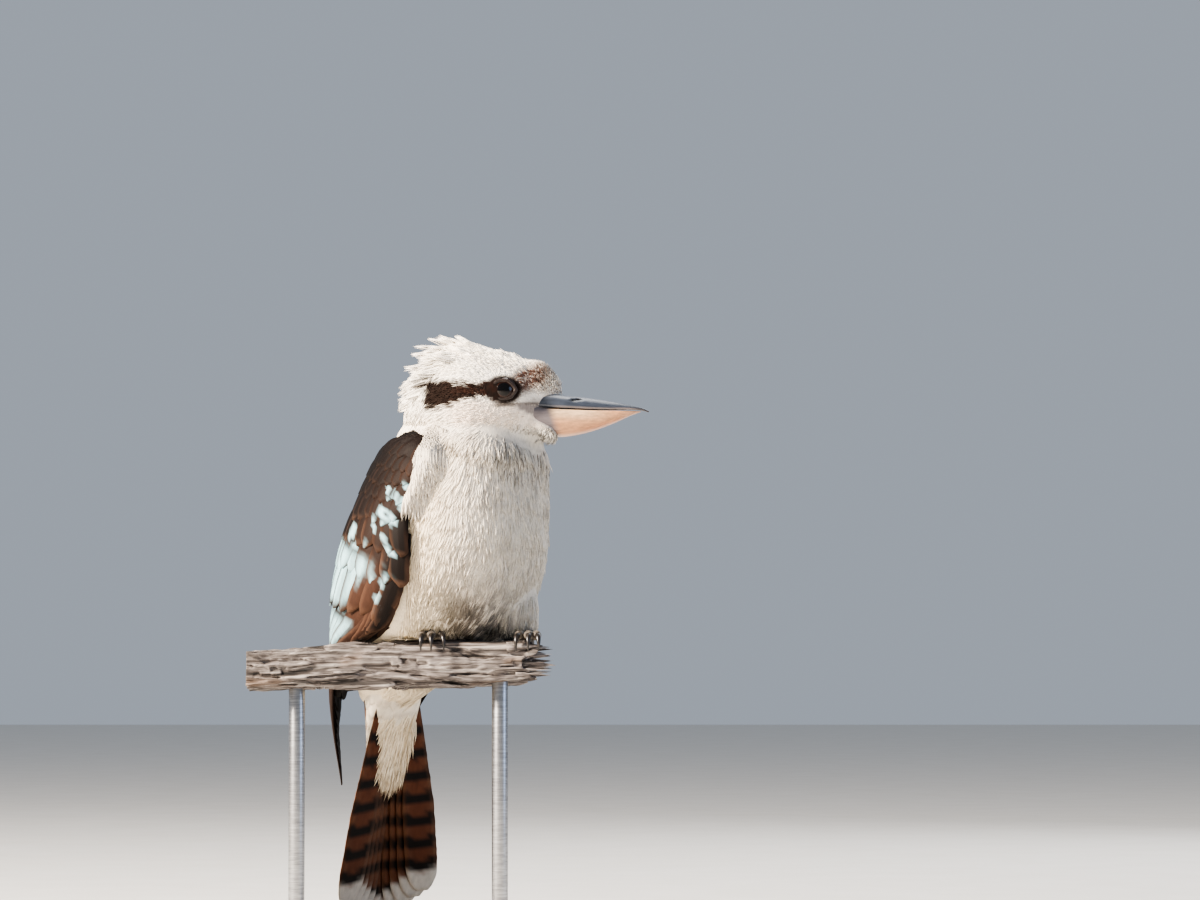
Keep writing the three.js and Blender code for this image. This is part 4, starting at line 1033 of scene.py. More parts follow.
# Wings: rows from the lowest layer to the highest, first the primaries and secondaries and then nine
# rows of coverts. Each has its count, half width, lift at the roots and at the tips, and where a blade
# rounds off. Then its first and its last feather have a root and a tip, as millimetres down the trunk's
# axis and share of the wing's reach.
WING_ROWS = [
    (10, 7.6, -4.6, -0.9, 0.8, [[112, 0.96], [222, 0.62]], [[124, 0.5], [182, 0.3]]),
    (11, 8, -4.4, -0.2, 0.8, [[92, 0.92], [152, 0.83]], [[92, 0.2], [176, 0.14]]),
    (5, 5.4, -4, 0.5, 0.62, [[68, 1.0], [108, 0.95]], [[88, 0.88], [130, 0.9]]),
    (10, 7.2, -3.2, 0.8, 0.62, [[70, 0.97], [108, 0.9]], [[74, 0.16], [120, 0.12]]),
    (11, 6.6, -2.8, 1.1, 0.62, [[56, 1.0], [84, 1.0]], [[60, 0.16], [96, 0.12]]),
    (11, 6.4, -2.8, 1.3, 0.62, [[44, 0.97], [68, 1.0]], [[48, 0.18], [80, 0.13]]),
    (10, 6.2, -2.6, 1.5, 0.62, [[34, 0.95], [54, 0.93]], [[38, 0.2], [64, 0.14]]),
    (10, 5.8, -2.6, 1.6, 0.62, [[25, 0.95], [43, 0.93]], [[29, 0.22], [52, 0.16]]),
    (9, 5.6, -2.6, 1.7, 0.62, [[17, 0.93], [34, 0.92]], [[21, 0.26], [42, 0.2]]),
    (8, 5.4, -2.6, 1.7, 0.62, [[10, 0.9], [26, 0.92]], [[13, 0.32], [32, 0.25]]),
    (6, 5, -3, 1.5, 0.62, [[4, 0.85], [19, 0.9]], [[6, 0.4], [23, 0.32]]),
]
# The left wing's rows start no further round than this share of its reach
LEFT_START = 0.88
# Where the coverts' pale blue tips show: down the axis, share of the reach, size
BLUE_TIPS = [
    (67, 0.55, 1.25), (73, 0.62, 0.8), (59, 0.76, 0.7), (61, 0.86, 0.75), (68, 0.92, 0.7),
    (49, 0.8, 0.8), (50, 0.9, 1.15), (37, 0.8, 0.7), (38, 0.9, 1.0), (41, 0.97, 0.9),
    (31, 0.93, 0.7), (77, 0.9, 0.5), (86, 0.88, 0.5), (95, 0.87, 0.5),
]
# Silver-blue patches of the long feathers: from and to down the axis, and how strong
BLUE_PATCHES = [(77, 110, 0.95), (117, 137, 0.9)]
# Faces along and across the body under the vanes
CORE_STEPS = (40, 14)


def wing_colours(down, share, u, v, seed):
    """Brown feathers with paler edges, pale blue tips on the coverts and two silver-blue patches."""
    brown, blue = tint("wing_brown"), tint("wing_blue")
    edge, black, dark, red = shades("#5c4436", "#0c0908", "#130c0a", "#432c21")
    dice = np.random.default_rng(seed)
    own = dice.random((len(u), 1, 1)) + 0 * u
    colours = brown + 0 * u[..., None]
    shoulder = smooth(0.86, 0.68, share + 0.005 * (down - 30)) * smooth(80, 50, down)
    colours = blend(colours, dark, 0.9 * shoulder)
    colours = blend(colours, red, 0.7 * smooth(118, 150, down) * smooth(0.3, 0.5, share))
    band = smooth(72, 80, down) * smooth(132, 122, down)
    colours = blend(colours, red, 0.6 * band * smooth(0.66, 0.72, share) * smooth(0.9, 0.85, share))
    # black along the wing's back edge and fold: partly its dark feathers, partly painted shade at the outline
    colours = blend(colours, black, 0.8 * smooth(0.62, 0.36, share) * smooth(6, 24, down))
    colours = blend(colours, black, 0.85 * smooth(0.88, 0.94, share) * smooth(40, 52, down))
    colours = blend(colours, black, 0.7 * smooth(150, 165, down))
    rim = np.maximum(smooth(0.62, 0.98, np.abs(v)) * smooth(0.3, 0.6, u), smooth(0.84, 0.97, u))
    shown = (0.25 + 0.75 * smooth(42, 74, down)) * smooth(0.3, 0.5, share) * smooth(150, 130, down)
    colours = blend(colours, edge, rim * (0.25 + 0.5 * own) * shown)

    streaky = smooth(0.2, 0.7, np.sin(v * 9 + own * 20) * 0.5 + 0.5)
    for low, high, weight in BLUE_PATCHES:
        slant = share + 0.0055 * np.maximum(down - low - 6, 0) + 0.03 * np.sin(own * 20)
        patch = smooth(low - 3, low + 3, down) * smooth(high + 3, high - 3, down)
        patch = patch * smooth(0.28, 0.36, share) * smooth(0.82, 0.75, slant) * smooth(1.0, 0.8, np.abs(v))
        colours = blend(colours, blue, weight * patch * (0.65 + 0.35 * streaky))
    wobble = 0.22 * np.sin(down * 1.9 + share * 40) + 0.2 * np.sin(v * 11 + own * 30)
    for at_down, at_share, big in BLUE_TIPS:
        near = np.hypot((down - at_down) / (3.3 * big), (share - at_share) / (0.04 * big)) + wobble
        colours = blend(colours, blue, 0.95 * smooth(1.05, 0.7, near) * (0.72 + 0.28 * streaky))
    # most middle coverts end in a small pale fleck
    fleck = smooth(0.8, 0.88, u) * smooth(0.5, 0.25, np.abs(v + 0.5 * (own - 0.5))) * (own > 0.3)
    fleck = fleck * smooth(36, 44, down) * smooth(104, 96, down)
    fleck = fleck * smooth(0.7, 0.76, share) * smooth(0.97, 0.93, share)
    colours = blend(colours, blue, 0.85 * fleck)
    return colours * (0.88 + 0.24 * dice.random((len(u), 1, 1, 1)))


def wing_feathers(side, dice):
    """Root, tip, half width, lifts and rounding of every feather of a wing, each as one row."""
    root, tip, wide, lifts, blunt = [], [], [], [], []
    furthest = LEFT_START if side > 0 else 1
    for count, half, low, high, rounding, first, last in WING_ROWS:
        for i in range(count):
            for k, ends, off in ((0, root, 0.6), (1, tip, 1.1)):
                start = np.array([first[k][0], min(first[k][1], furthest)])
                jitter = np.array([dice.normal(0, off), dice.normal(0, 0.007)])
                ends.append(start + (last[k] - start) * (i / (count - 1)) + jitter)
            wide.append(half * dice.uniform(0.92, 1.1))
            lifts.append([low, high + dice.normal(0, 0.18)])
            blunt.append(rounding)
    return [np.array(rows)[:, None, None] for rows in (root, tip, wide, lifts, blunt)]


def make_wing(side, material):
    """Rows of vanes over a folded wing, and the smooth body under them."""
    name = "wing_left" if side > 0 else "wing_right"
    dice = np.random.default_rng(41 if side > 0 else 42)
    root, tip, wide, lifts, blunt = wing_feathers(side, dice)
    count = len(root)
    curve = dice.normal(0, 0.008, (count, 1, 1))

    def place(u, v):
        down = root[..., 0] + (tip[..., 0] - root[..., 0]) * u
        share = root[..., 1] + (tip[..., 1] - root[..., 1]) * u + curve * np.sin(np.pi * u)
        back_edge, front_edge = wing_edges(down, side)
        degrees = back_edge + (front_edge - back_edge) * share
        half_wide, back = wing_skin(down)
        per_mm = np.degrees(1) / np.sqrt(half_wide * back)
        across = v * wide * vane_shape(u, blunt) * ragged(u, v, 43) * per_mm
        return down, degrees + across, share + across / (front_edge - back_edge)

    def at(u, v, face):
        down, degrees, _ = place(u, v)
        lift = lifts[..., 1] + (lifts[..., 0] - lifts[..., 1]) * (1 - u) ** 4
        lift = lift - 0.55 * v + 0.35 * (1 - v * v) + 0.2 * (np.abs(v) < 0.1) + face * (0.3 - 0.12 * u)
        tip_drop = np.where(u > 0.9, 1.6 * v * v * blunt, 0)
        return on_wing(side, down - tip_drop, degrees, lift)

    def colours(u, v):
        down, _, share = place(u, v)
        return wing_colours(down, share, u, v, 44)

    vanes = make_vanes(name + "_vanes", count, at, colours, material, "wing_feathers")

    along, across = CORE_STEPS
    u, v = np.meshgrid(np.linspace(0, 1, along + 1), np.linspace(-1, 1, across + 1), indexing="ij")
    down = 5 + 164 * u
    back_edge, front_edge = wing_edges(down, side)
    degrees = back_edge + 2 + (front_edge - back_edge - 4) * (v + 1) / 2

    def core_at(u, v, face):
        lift = np.where(face > 0, -3.2 - 0.8 * np.abs(v) ** 4, -6.5)
        return on_wing(side, down[None], degrees[None], lift)

    def core_colours(u, v):
        # the body under the vanes is painted at 0.55 of their colours, a painted shade in the gaps between
        # them
        return wing_colours(down[None], (v + 1) / 2, u, v, 45) * 0.55

    core = make_vanes(name + "_core", 1, core_at, core_colours, material, "wing_feathers", CORE_STEPS)
    whole = joined(name + "_plumes", [vanes, core])
    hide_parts(name)


# Mantle: the back between the wings, and the rump

# Millimetres from row to row, from feather to feather, and from bar to bar
MANTLE_ROW = 7.4
MANTLE_GAP = 7.6
RUMP_BAR = 9
# Short feathers of the back and the tail's root: faces along and across, and where they round off
SHORT_STEPS = (8, 4)
SHORT_BLUNT = 0.6


def make_mantle(material):
    """Rows of feathers between the wings, from the neck to the rump."""
    dice = np.random.default_rng(51)
    rows = []
    for row, start in enumerate(np.arange(12, 152, MANTLE_ROW)):
        reach = wing_reach(start + 14)[0] + 9 - 12 * smooth(26, 12, start)
        wide, back, _ = trunk_size(start + 10)
        step = math.degrees(MANTLE_GAP / math.sqrt(wide * back))
        for place in np.arange(-reach, reach + 0.1, step) + (step / 2 if row % 2 else 0):
            if abs(place) <= reach + 2:
                rows.append((start + dice.normal(0, 1), place + dice.normal(0, 1)))
    rows = np.array(rows)[:, :, None, None]
    count = len(rows)
    long = dice.uniform(20, 28, (count, 1, 1)) + 5 * smooth(90, 140, rows[:, 0])
    wide_mm = dice.uniform(5.2, 6.6, (count, 1, 1))
    tilt = dice.normal(0, 0.3, (count, 1, 1))

    def at(u, v, face):
        down = rows[:, 0] + long * u
        wide, back, breast = trunk_size(down)
        across = v * wide_mm * vane_shape(u, SHORT_BLUNT) * ragged(u, v, 52) / np.sqrt(wide * back)
        angle = np.radians(rows[:, 1]) * (1 - 0.1 * u) + across
        lift = 1.7 - 5 * (1 - u) ** 3 + (0.14 + 0.5 * tilt * v) * (1 - v * v) + face * (0.25 - 0.17 * u)
        lift = lift - 0.45 * smooth(0.75, 1, u) - 0.25 * v * v - 2.4 * smooth(26, 12, down)
        return placed(BIRD, on_trunk(down, angle, wide + lift, back + lift, breast + lift))

    def colours(u, v):
        brown, edge, dark, rufous, black = shades("#30231d", "#5f4a3d", "#1d1512", "#553524", "#130e0c")
        down = rows[:, 0] + long * u
        shade = blend(brown + 0 * u[..., None], dark, 0.6 * smooth(0.35, 0.1, np.abs(v)))
        rim = np.maximum(smooth(0.6, 0.95, np.abs(v)) * smooth(0.4, 0.7, u), smooth(0.85, 0.97, u))
        shade = blend(shade, edge, 0.3 * rim)
        rump = smooth(112, 130, rows[:, 0]) + 0 * u
        shade = blend(shade, rufous, 0.7 * rump)
        bars = smooth(0.1, 0.5, np.sin(down * 2 * np.pi / RUMP_BAR))
        shade = blend(shade, black, 0.85 * rump * bars)
        return shade * (0.85 + 0.3 * np.random.default_rng(53).random((count, 1, 1, 1)))

    make_vanes("mantle_vanes", count, at, colours, material, "wing_feathers", SHORT_STEPS)


# Tail

TAIL_LONG = 146.0
TAIL_STEPS = (44, 6)
TAIL_BAR = 13.5


def tail_bars(run, v, white_from):
    """Rufous with black bars, and white from a place on."""
    black, white, edge = shades("#120d0b", "#e6dfd2", "#98745a")
    shade = tint("tail_rufous") + 0 * run[..., None]
    shade = blend(shade, edge, 0.35 * smooth(0.5, 0.95, np.abs(v)))
    wave = np.sin((run + 2.2 * np.abs(v)) * 2 * np.pi / TAIL_BAR)
    shade = blend(shade, black, smooth(-0.15, 0.25, wave) * smooth(1.15, 0.9, np.abs(v)))
    return blend(shade, white, smooth(white_from - 2, white_from + 2, run + 2.5 * np.abs(v)))


def tail_blades(material):
    """Twelve long feathers in a narrow stack, the middle pair on top."""
    ranks = np.array([(side, rank) for rank in range(6) for side in (1, -1)], float)
    side, rank = ranks[:, 0, None, None], ranks[:, 1, None, None]
    long = TAIL_LONG - 1.5 - 3.6 * rank

    def at(u, v, face):
        run = 6 + (long - 6) * u
        wide = 11 * (0.4 + 0.6 * np.clip(u / 0.55, 0, 1))
        wide = wide * np.where(u > 0.85, np.sqrt(np.maximum(0.03, 1 - ((u - 0.85) / 0.16) ** 2)), 1)
        wide = wide * ragged(u, v, 61, 0.05)
        y = side * (1 + 1.6 * rank) + np.sin(side * np.radians(0.8 + 1.6 * rank)) * run + v * wide
        layer = 2.4 - 1.12 * rank - np.where(side < 0, 0.56, 0)
        thick = 0.2 + 0.1 * (1 - v * v) + 0.35 * (np.abs(v) < 0.1)
        x = -layer + 0.0028 * y * y - 0.0001 * run * run - face * thick
        return placed(TAIL, np.stack([x, y, -run], -1))

    def colours(u, v):
        return tail_bars(6 + (long - 6) * u, v, long - 11)

    return make_vanes("tail_feathers", 12, at, colours, material, "tail_feathers", TAIL_STEPS)


def tail_coverts(material):
    """Short feathers all round the tail's root, barred on top and cream below."""
    dice = np.random.default_rng(62)
    rows = []
    for row, start in enumerate(np.arange(-8, 40, 7)):
        step = math.degrees(6.6 / tail_root_size(max(start + 8, 0))[0])
        around = 360 / math.ceil(360 / step)
        for place in np.arange(-180, 179.9, around):
            rows.append((start + dice.normal(0, 0.8), place + (around / 2 if row % 2 else 0)))
    rows = np.array(rows)[:, :, None, None]
    count = len(rows)
    reach = dice.uniform(19, 24, (count, 1, 1))

    def at(u, v, face):
        run = rows[:, 0] + reach * u
        wide, back, under = tail_root_size(np.maximum(run, 0))
        angle = np.radians(rows[:, 1]) + v * 5.4 * vane_shape(u, SHORT_BLUNT) * ragged(u, v, 63) / wide
        lift = 0.6 - 3 * (1 - u) ** 3 + 0.3 * (1 - v * v) + face * 0.22
        away = np.where(np.cos(angle) > 0, -(back + lift), -(under + lift)) * np.cos(angle)
        return placed(TAIL, np.stack([away, np.sin(angle) * (wide + lift), -run], -1))

    def colours(u, v):
        cream, faint = shades("#e4dac8", "#a79583")
        run = rows[:, 0] + reach * u
        turned = np.abs(rows[:, 1])
        under = (smooth(66, 84, np.minimum(turned, 360 - turned)) + 0 * u)[..., None]
        wave = np.sin(run * 2 * np.pi / 8)
        pale = blend(cream + 0 * u[..., None], faint, 0.4 * smooth(0.4, 0.8, wave))
        return tail_bars(run * 1.4, v, 400) * (1 - under) + pale * under

    return make_vanes("tail_coverts", count, at, colours, material, "tail_feathers", SHORT_STEPS)


def make_tail(material):
    whole = joined("tail_plumes", [tail_blades(material), tail_coverts(material)])
    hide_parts("tail")


# Bill

# Place along the head, then the ridge's and the mouth's height and the half width
UPPER_BILL = track([
    [24, -0.5, -9.6, 13.4], [31, -0.8, -10.1, 12.9], [38, -1.7, -10.4, 12.9], [44, -2.8, -10.6, 12.8],
    [57, -4.2, -11, 10], [70, -6.2, -11.1, 7], [80, -8.2, -11, 4.2], [87, -9.9, -11.6, 1.7],
    [90.5, -11.4, -12.6, 0.5],
])
LOWER_BILL = track([
    [24, -24.5, -10, 14.6], [30, -25, -10.3, 14.2], [42, -25.9, -10.8, 12.6], [57, -23.2, -11.2, 9.7],
    [70, -18.6, -11.3, 6.7], [80, -14.2, -11.2, 3.7], [86, -12, -11.3, 1.2],
])
BILL_FROM = 24
BILL_ENDS = {"bill_upper": 90.5, "bill_lower": 86.0}
# Each half's edge lies this far off the mouth's line
MOUTH = 0.35
# Along the head and up
NOSTRIL = (50.0, -5.7)


def from_nostril(x, z, long, high):
    """Distance from the slanted slit of the nostril, against its half length and half height."""
    x, z = x - NOSTRIL[0], z - NOSTRIL[1]
    return np.hypot(x / long, (z - 0.09 * x) / high)


def bill_grid(size, end, upper, rings=90, sides=48):
    """One half of the bill, domed outwards and nearly flat along the mouth."""
    place = (0.5 - 0.5 * np.cos(np.pi * np.linspace(0, 1, rings + 1)))[:, None]
    angle = (np.arange(sides) * 2 * np.pi / sides)[None, :]
    place, angle = place + 0 * angle, angle + 0 * place
    x = BILL_FROM + (end - BILL_FROM) * place
    outer, mouth, wide = size(x)
    c, s = np.cos(angle), np.sin(angle)
    domed = s >= 0 if upper else s <= 0
    way = 1 if upper else -1
    edge = mouth + way * MOUTH
    height = np.where(domed, np.abs(outer - edge) * np.abs(s) ** 0.8, 0)
    width = wide * np.sign(c) * np.abs(c) ** np.where(domed, 0.74, 0.9)
    # growth lines along the horn
    line = 0.1 * np.sin(7 * np.abs(angle - np.pi / 2) + x / 19) * smooth(24, 34, x) * smooth(88, 70, x)
    z = edge + way * (height + line * np.abs(s))
    y = width + np.sign(c) * line * np.abs(c)
    if upper:
        # the nostril's hollow, and a shallow groove from it forwards
        y = y - np.sign(y) * 1.7 * smooth(1, 0.35, from_nostril(x, z, 4.2, 1))
        groove = np.abs(z - NOSTRIL[1] + 0.1 * (x - 54)) / 1.3
        y = y - np.sign(y) * 0.35 * smooth(1, 0, groove) * smooth(50, 56, x) * smooth(78, 66, x)
    return placed(HEAD, np.stack([x, y, z], -1))


def upper_horn(h, ridge, mouth):
    """Dark horn, grey along the ridge that is partly the horn's own and partly a painted sheen, and paler
    along the mouth.
    """
    x, _, z = h.T
    grey, rim, tip, base, hole = shades("#7b818b", "#a39187", "#17181b", "#4a4d52", "#070606")
    colours = np.tile(tint("upper_bill"), (len(h), 1))
    # painted sheen, partly the horn's own grey: lighter along the ridge
    colours = blend(colours, grey, 0.6 * smooth(0.7, 1, smooth(mouth, ridge, z)) * smooth(86, 55, x))
    colours = blend(colours, rim, 0.7 * smooth(mouth + 1.5, mouth + 0.5, z) * smooth(34, 48, x))
    colours = blend(colours, tip, 0.75 * smooth(78, 88, x))
    colours = blend(colours, base, 0.5 * smooth(40, 28, x))
    # painted shade: the nostril's slit is painted near black
    return blend(colours, hole, smooth(1.1, 0.8, from_nostril(x, z, 3.4, 0.75)))


def lower_horn(h, ridge, mouth):
    """Pale horn, redder along its underside and grey where it leaves the feathers."""
    x, _, z = h.T
    pale, keel, base, tip = shades("#edd2ad", "#a5633a", "#68646a", "#a98c78")
    under = (mouth - z) / np.maximum(mouth - ridge, 1)
    colours = np.tile(tint("lower_bill"), (len(h), 1))
    colours = blend(colours, pale, 0.75 * smooth(-19, -12, z) * smooth(76, 50, x))
    colours = blend(colours, keel, 0.6 * smooth(0.55, 0.95, under) * smooth(40, 60, x))
    colours = blend(colours, base, 0.95 * smooth(40, 34, x + 0.3 * (z + 14)))
    return blend(colours, tip, 0.5 * smooth(70, 84, x))


def make_bill():
    # Keratin: smooth horn with a thin worn shine
    material, tree, shader = new_material(
        "bill keratin", Roughness=0.34, Coat_Weight=0.2, Coat_Roughness=0.25)
    colour = add_node(tree, "ShaderNodeAttribute", {"attribute_name": "horn"}).outputs["Color"]
    # growth streaks about 1.2 mm apart run along the bill, with small chips and dust over them
    streaks = object_noise(tree, 1.2, (14, 1, 1), 4.0)
    chips = object_noise(tree, 0.8, (2, 1, 1), 2.0)
    worn = shaded(tree, shaded(tree, colour, streaks, 0.78, 1.2), chips, 0.93, 1.07)
    tree.links.new(worn, shader.inputs["Base Color"])
    relief = {"Distance": 0.12 * MM, "Strength": 0.5}
    add_node(tree, "ShaderNodeBump", relief, {"Height": streaks}, shader.inputs["Normal"])
    for size, horn, node, slot in (
        (UPPER_BILL, upper_horn, "bill_upper", "dark_bill_horn"),
        (LOWER_BILL, lower_horn, "bill_lower", "pale_bill_horn"),
    ):
        grid = bill_grid(size, BILL_ENDS[node], node == "bill_upper")
        made = build(node + "_horn", *rounded(grid), material)
        outward(made)
        h = into(HEAD, points_of(made))
        ridge, mouth, _ = size(h[:, 0])
        paint(made, horn(h, ridge, mouth), "horn")
        wears(made, slot, node)


# Eyes and lids

EYE_R = 8.5
# Radius of the opening and of its rim, and how far the rim lies from the head's middle
LID_R = 6.3
LID_THICK = 1.3
LID_OUT = 24.3


def make_eyes():
    """Two wet eyes, and a rim of bare wrinkled skin round each."""
    material, tree, shader = new_material("wet eye", Roughness=0.12, Specular_IOR_Level=0.35)
    out = add_node(tree, "ShaderNodeAttribute", {"attribute_name": "from_pupil"}).outputs["Fac"]
    # the pupil is 6 mm across, the brown iris 11 mm
    stops = [(0.0, "#050404"), (0.26, "#060404"), (0.3, "#24120a"), (0.5, tint("iris"))]
    stops += [(0.62, "#120b08"), (1.0, "#0a0706")]
    add_node(tree, "ShaderNodeValToRGB", {"stops": stops}, {0: out}, shader.inputs["Base Color"])
    # Eyelid skin: soft and dark, with folds half a millimetre apart
    lid_material, tree, shader = new_material("bare eyelid skin", Roughness=0.5)
    folds = object_noise(tree, 0.5, (1, 1, 2), 3.0)
    stops = [(0.3, "#150e0b"), (0.7, "#33241c")]
    add_node(tree, "ShaderNodeValToRGB", {"stops": stops}, {0: folds}, shader.inputs["Base Color"])
    relief = {"Distance": 0.25 * MM, "Strength": 0.7}
    add_node(tree, "ShaderNodeBump", relief, {"Height": folds}, shader.inputs["Normal"])
    for side, name in ((-1, "eye_right"), (1, "eye_left")):
        made = primitive(name + "_ball", "uv_sphere", material, segments=56, ring_count=36, radius=EYE_R * MM)
        centre = (placed(HEAD, np.array([EYE[0], side * EYE[1], EYE[2]])) - BASE_MIDDLE) * MM
        gaze = unit(np.array([0.1, side, 0.03]))
        co = np.array([vertex.co for vertex in made.data.vertices])
        off = np.degrees(np.arccos(np.clip((co @ gaze) / (EYE_R * MM), -1, 1)))
        co = co * (1 + 0.03 * smooth(42, 16, off))[:, None]
        made.data.vertices.foreach_set("co", (co + centre).astype(np.float32).ravel())
        layer = made.data.attributes.new("from_pupil", "FLOAT", "POINT")
        layer.data.foreach_set("value", (off / 90).astype(np.float32))
        bpy.ops.object.shade_smooth()
        wears(made, "eye", name)

        rim = primitive(
            name.replace("eye", "lids"), "torus", lid_material, major_radius=LID_R * MM,
            minor_radius=LID_THICK * MM, major_segments=96, minor_segments=24)
        co = np.array([vertex.co for vertex in rim.data.vertices]) / MM
        around = np.arctan2(co[:, 1], co[:, 0])
        r = np.hypot(co[:, 0], co[:, 1])
        # a point at the front and the back corner, and fine wrinkles round the opening
        corner = np.abs(np.cos(around)) ** 12
        wrinkle = 0.1 * np.sin(around * 46) + 0.16 * np.sin(3.1 * (r - 6.4) * 3 + 2 * np.sin(around * 3))
        x, z = np.cos(around) * (r + corner), np.sin(around) * r * 0.8
        y = side * (co[:, 2] * 0.8 + wrinkle * smooth(0, 1, 1 - side * co[:, 2]))
        turned = np.stack([x, y, z], -1) @ turn("Z", math.radians(-side * 8))[:3, :3].T
        world = (placed(HEAD, turned + [EYE[0], side * LID_OUT, EYE[2]]) - BASE_MIDDLE) * MM
        rim.data.vertices.foreach_set("co", world.astype(np.float32).ravel())
        outward(rim)
        bpy.ops.object.shade_smooth()
        wears(rim, "foot_skin")


# Feet

FOOT_X = {"right": -4.0, "left": 50.5}
ANKLE_Y = -8.0
TOE_R = 2.5
# Toes: name, degrees round the foot, length and thickness against the middle toe's
TOES = [("inner", 17, 0.86, 0.9), ("middle", 1, 1, 1), ("outer", -11, 0.97, 0.95), ("hind", 180, 0.56, 0.95)]


def swept_grid(path, radii, frame4, rings, sides, scutes=0.0):
    """A tube along a smooth path of [forward, up], with plates across its top."""
    path = np.array(path, float)
    share = np.linspace(0, 1, len(path))
    curve = track(np.column_stack([share, path]))
    place = np.linspace(0, 1, rings + 1)
    inner = np.clip((place - 0.02) / 0.96, 0, 1)
    x, z = curve(inner)
    x2, z2 = curve(np.clip(inner + 0.01, 0, 1))
    x1, z1 = curve(np.clip(inner - 0.01, 0, 1))
    way = unit(np.stack([x2 - x1, z2 - z1], -1))
    angle = (np.arange(sides) * 2 * np.pi / sides)[None, :]
    run = np.concatenate([[0], np.cumsum(np.hypot(np.diff(x), np.diff(z)))])[:, None]
    open_ring = (place > 0) & (place < 1)
    r = (track(radii)(inner)[0] * open_ring)[:, None]
    upper = smooth(-0.1, 0.5, np.sin(angle))
    plate = np.abs(((run / 1.7) % 1) - 0.5) * 2
    pads = 0.22 * np.sin(run * 2 * np.pi / 5.5) * (1 - upper)
    r = r + scutes * ((plate - 0.6) * 0.34 * upper + pads) * (r > 0)
    up, out = np.sin(angle) * r, np.cos(angle) * r
    points = np.stack([x[:, None] - way[:, 1, None] * up, out, z[:, None] + way[:, 0, None] * up], -1)
    return placed(frame4, points)


def toe_frame(foot, degrees):
    mirrored = -degrees if foot == "left" else degrees
    return move(FOOT_X[foot], ANKLE_Y, PERCH_TOP) @ turn("Z", math.radians(-90 + mirrored))


def toe_paths(reach, hind):
    """Middle lines of a toe and of its claw, as [forward, up]."""
    if hind:
        toe = [[0, 4.4], [reach * 0.5, 1], [reach, -2.2]]
        return toe, [[reach - 1.5, -1.4], [reach + 2.5, -2], [reach + 6, -4.6], [reach + 7.6, -7]]
    toe = [[0, 4.4], [reach * 0.35, 2.2], [reach * 0.75, 2.2], [reach + 0.4, 3], [reach + 3.2, 1.6]]
    return toe, [[reach + 1.6, 2.7], [reach + 4.6, 1.9], [reach + 6.4, -1.8], [reach + 6, -6.4]]


def make_feet():
    """Short legs, and four toes each that grip the branch with hooked claws."""
    # Scaly skin: worn scutes are paler on top, dirt sits in the grooves between them
    skin, tree, shader = new_material("scaly foot skin", Roughness=0.6)
    plates = object_noise(tree, 1.6, (1, 1, 1), 3.0)
    stops = [(0.32, "#2f2a25"), (0.55, tint("feet")), (0.72, "#7f786b")]
    add_node(tree, "ShaderNodeValToRGB", {"stops": stops}, {0: plates}, shader.inputs["Base Color"])
    pores = object_noise(tree, 0.45, (1, 1, 1), 2.0)
    relief = {"Distance": 0.2 * MM, "Strength": 0.6}
    add_node(tree, "ShaderNodeBump", relief, {"Height": pores}, shader.inputs["Normal"])
    # Claws: hard dark horn, streaked along its length
    horn, tree, shader = new_material("claw keratin", Roughness=0.3)
    streaks = object_noise(tree, 1.0, (1, 1, 4), 2.0)
    stops = [(0.35, "#12100f"), (0.75, "#332e2b")]
    add_node(tree, "ShaderNodeValToRGB", {"stops": stops}, {0: streaks}, shader.inputs["Base Color"])
    front = ANKLE_Y - BRANCH_Y[0]
    for foot in ("right", "left"):
        toes, claws, names = [], [], []
        for name, degrees, share, thick in TOES:
            here = toe_frame(foot, degrees)
            toe, claw = toe_paths(front * share, name == "hind")
            r = TOE_R * thick
            radii = [[0, 1.05 * r], [0.35, 0.88 * r], [0.6, r], [0.85, 0.94 * r], [1, 0.75 * r]]
            toes.append(build("toe", *rounded(swept_grid(toe, radii, here, 56, 18, 1.0)), skin))
            radii = [[0, 1.75], [0.4, 1.4], [0.8, 0.68], [1, 0.2]]
            claws.append(build("claw", *rounded(swept_grid(claw, radii, here, 24, 16)), horn))
            names.append(f"claw_{foot}_{name}")
        lean = move(FOOT_X[foot], ANKLE_Y + 1, PERCH_TOP + 3)
        lean = lean @ turn("X", math.radians(-8)) @ turn("Y", math.radians(-90))
        shank = [[-1, 0], [5, 0], [10, 0], [15, 0]], [[0, 3.4], [0.5, 3.1], [1, 3.3]]
        toes.append(build("tarsus", *rounded(swept_grid(*shank, lean, 56, 20, 0.9)), skin))
        for made in toes + claws:
            outward(made)
        wears(joined(f"foot_{foot}", toes), "foot_skin", f"leg_{foot}")
        wears(joined(f"claws_{foot}", claws), "claw_horn", *names)


# Perch

# Big splinters of the broken end: across the branch, up from its top, long, half width, half thickness
# and how many degrees they point down
SPLINTERS = [
    (-26, -4.5, 20, 4.4, 3.2, -4), (-17, -8, 24, 5, 3.4, 2), (-23, -12.5, 27, 4, 2.8, 3),
    (-8, -5, 18, 5.2, 3.4, -3), (0, -11, 21, 4.4, 3.2, 3), (-11, -14.5, 16, 4.8, 2.8, 4),
]
# Small ones lie anywhere between these sizes, and also swing to a side
SMALL_SPLINTERS = 64
SMALL_RANGES = [(-27, 5), (-20, -3), (9, 21), (0.7, 2.2), (0.5, 1.3), (-5, 5), (-4, 4)]
# Rings and sides of the branch
WOOD_STEPS = (300, 190)


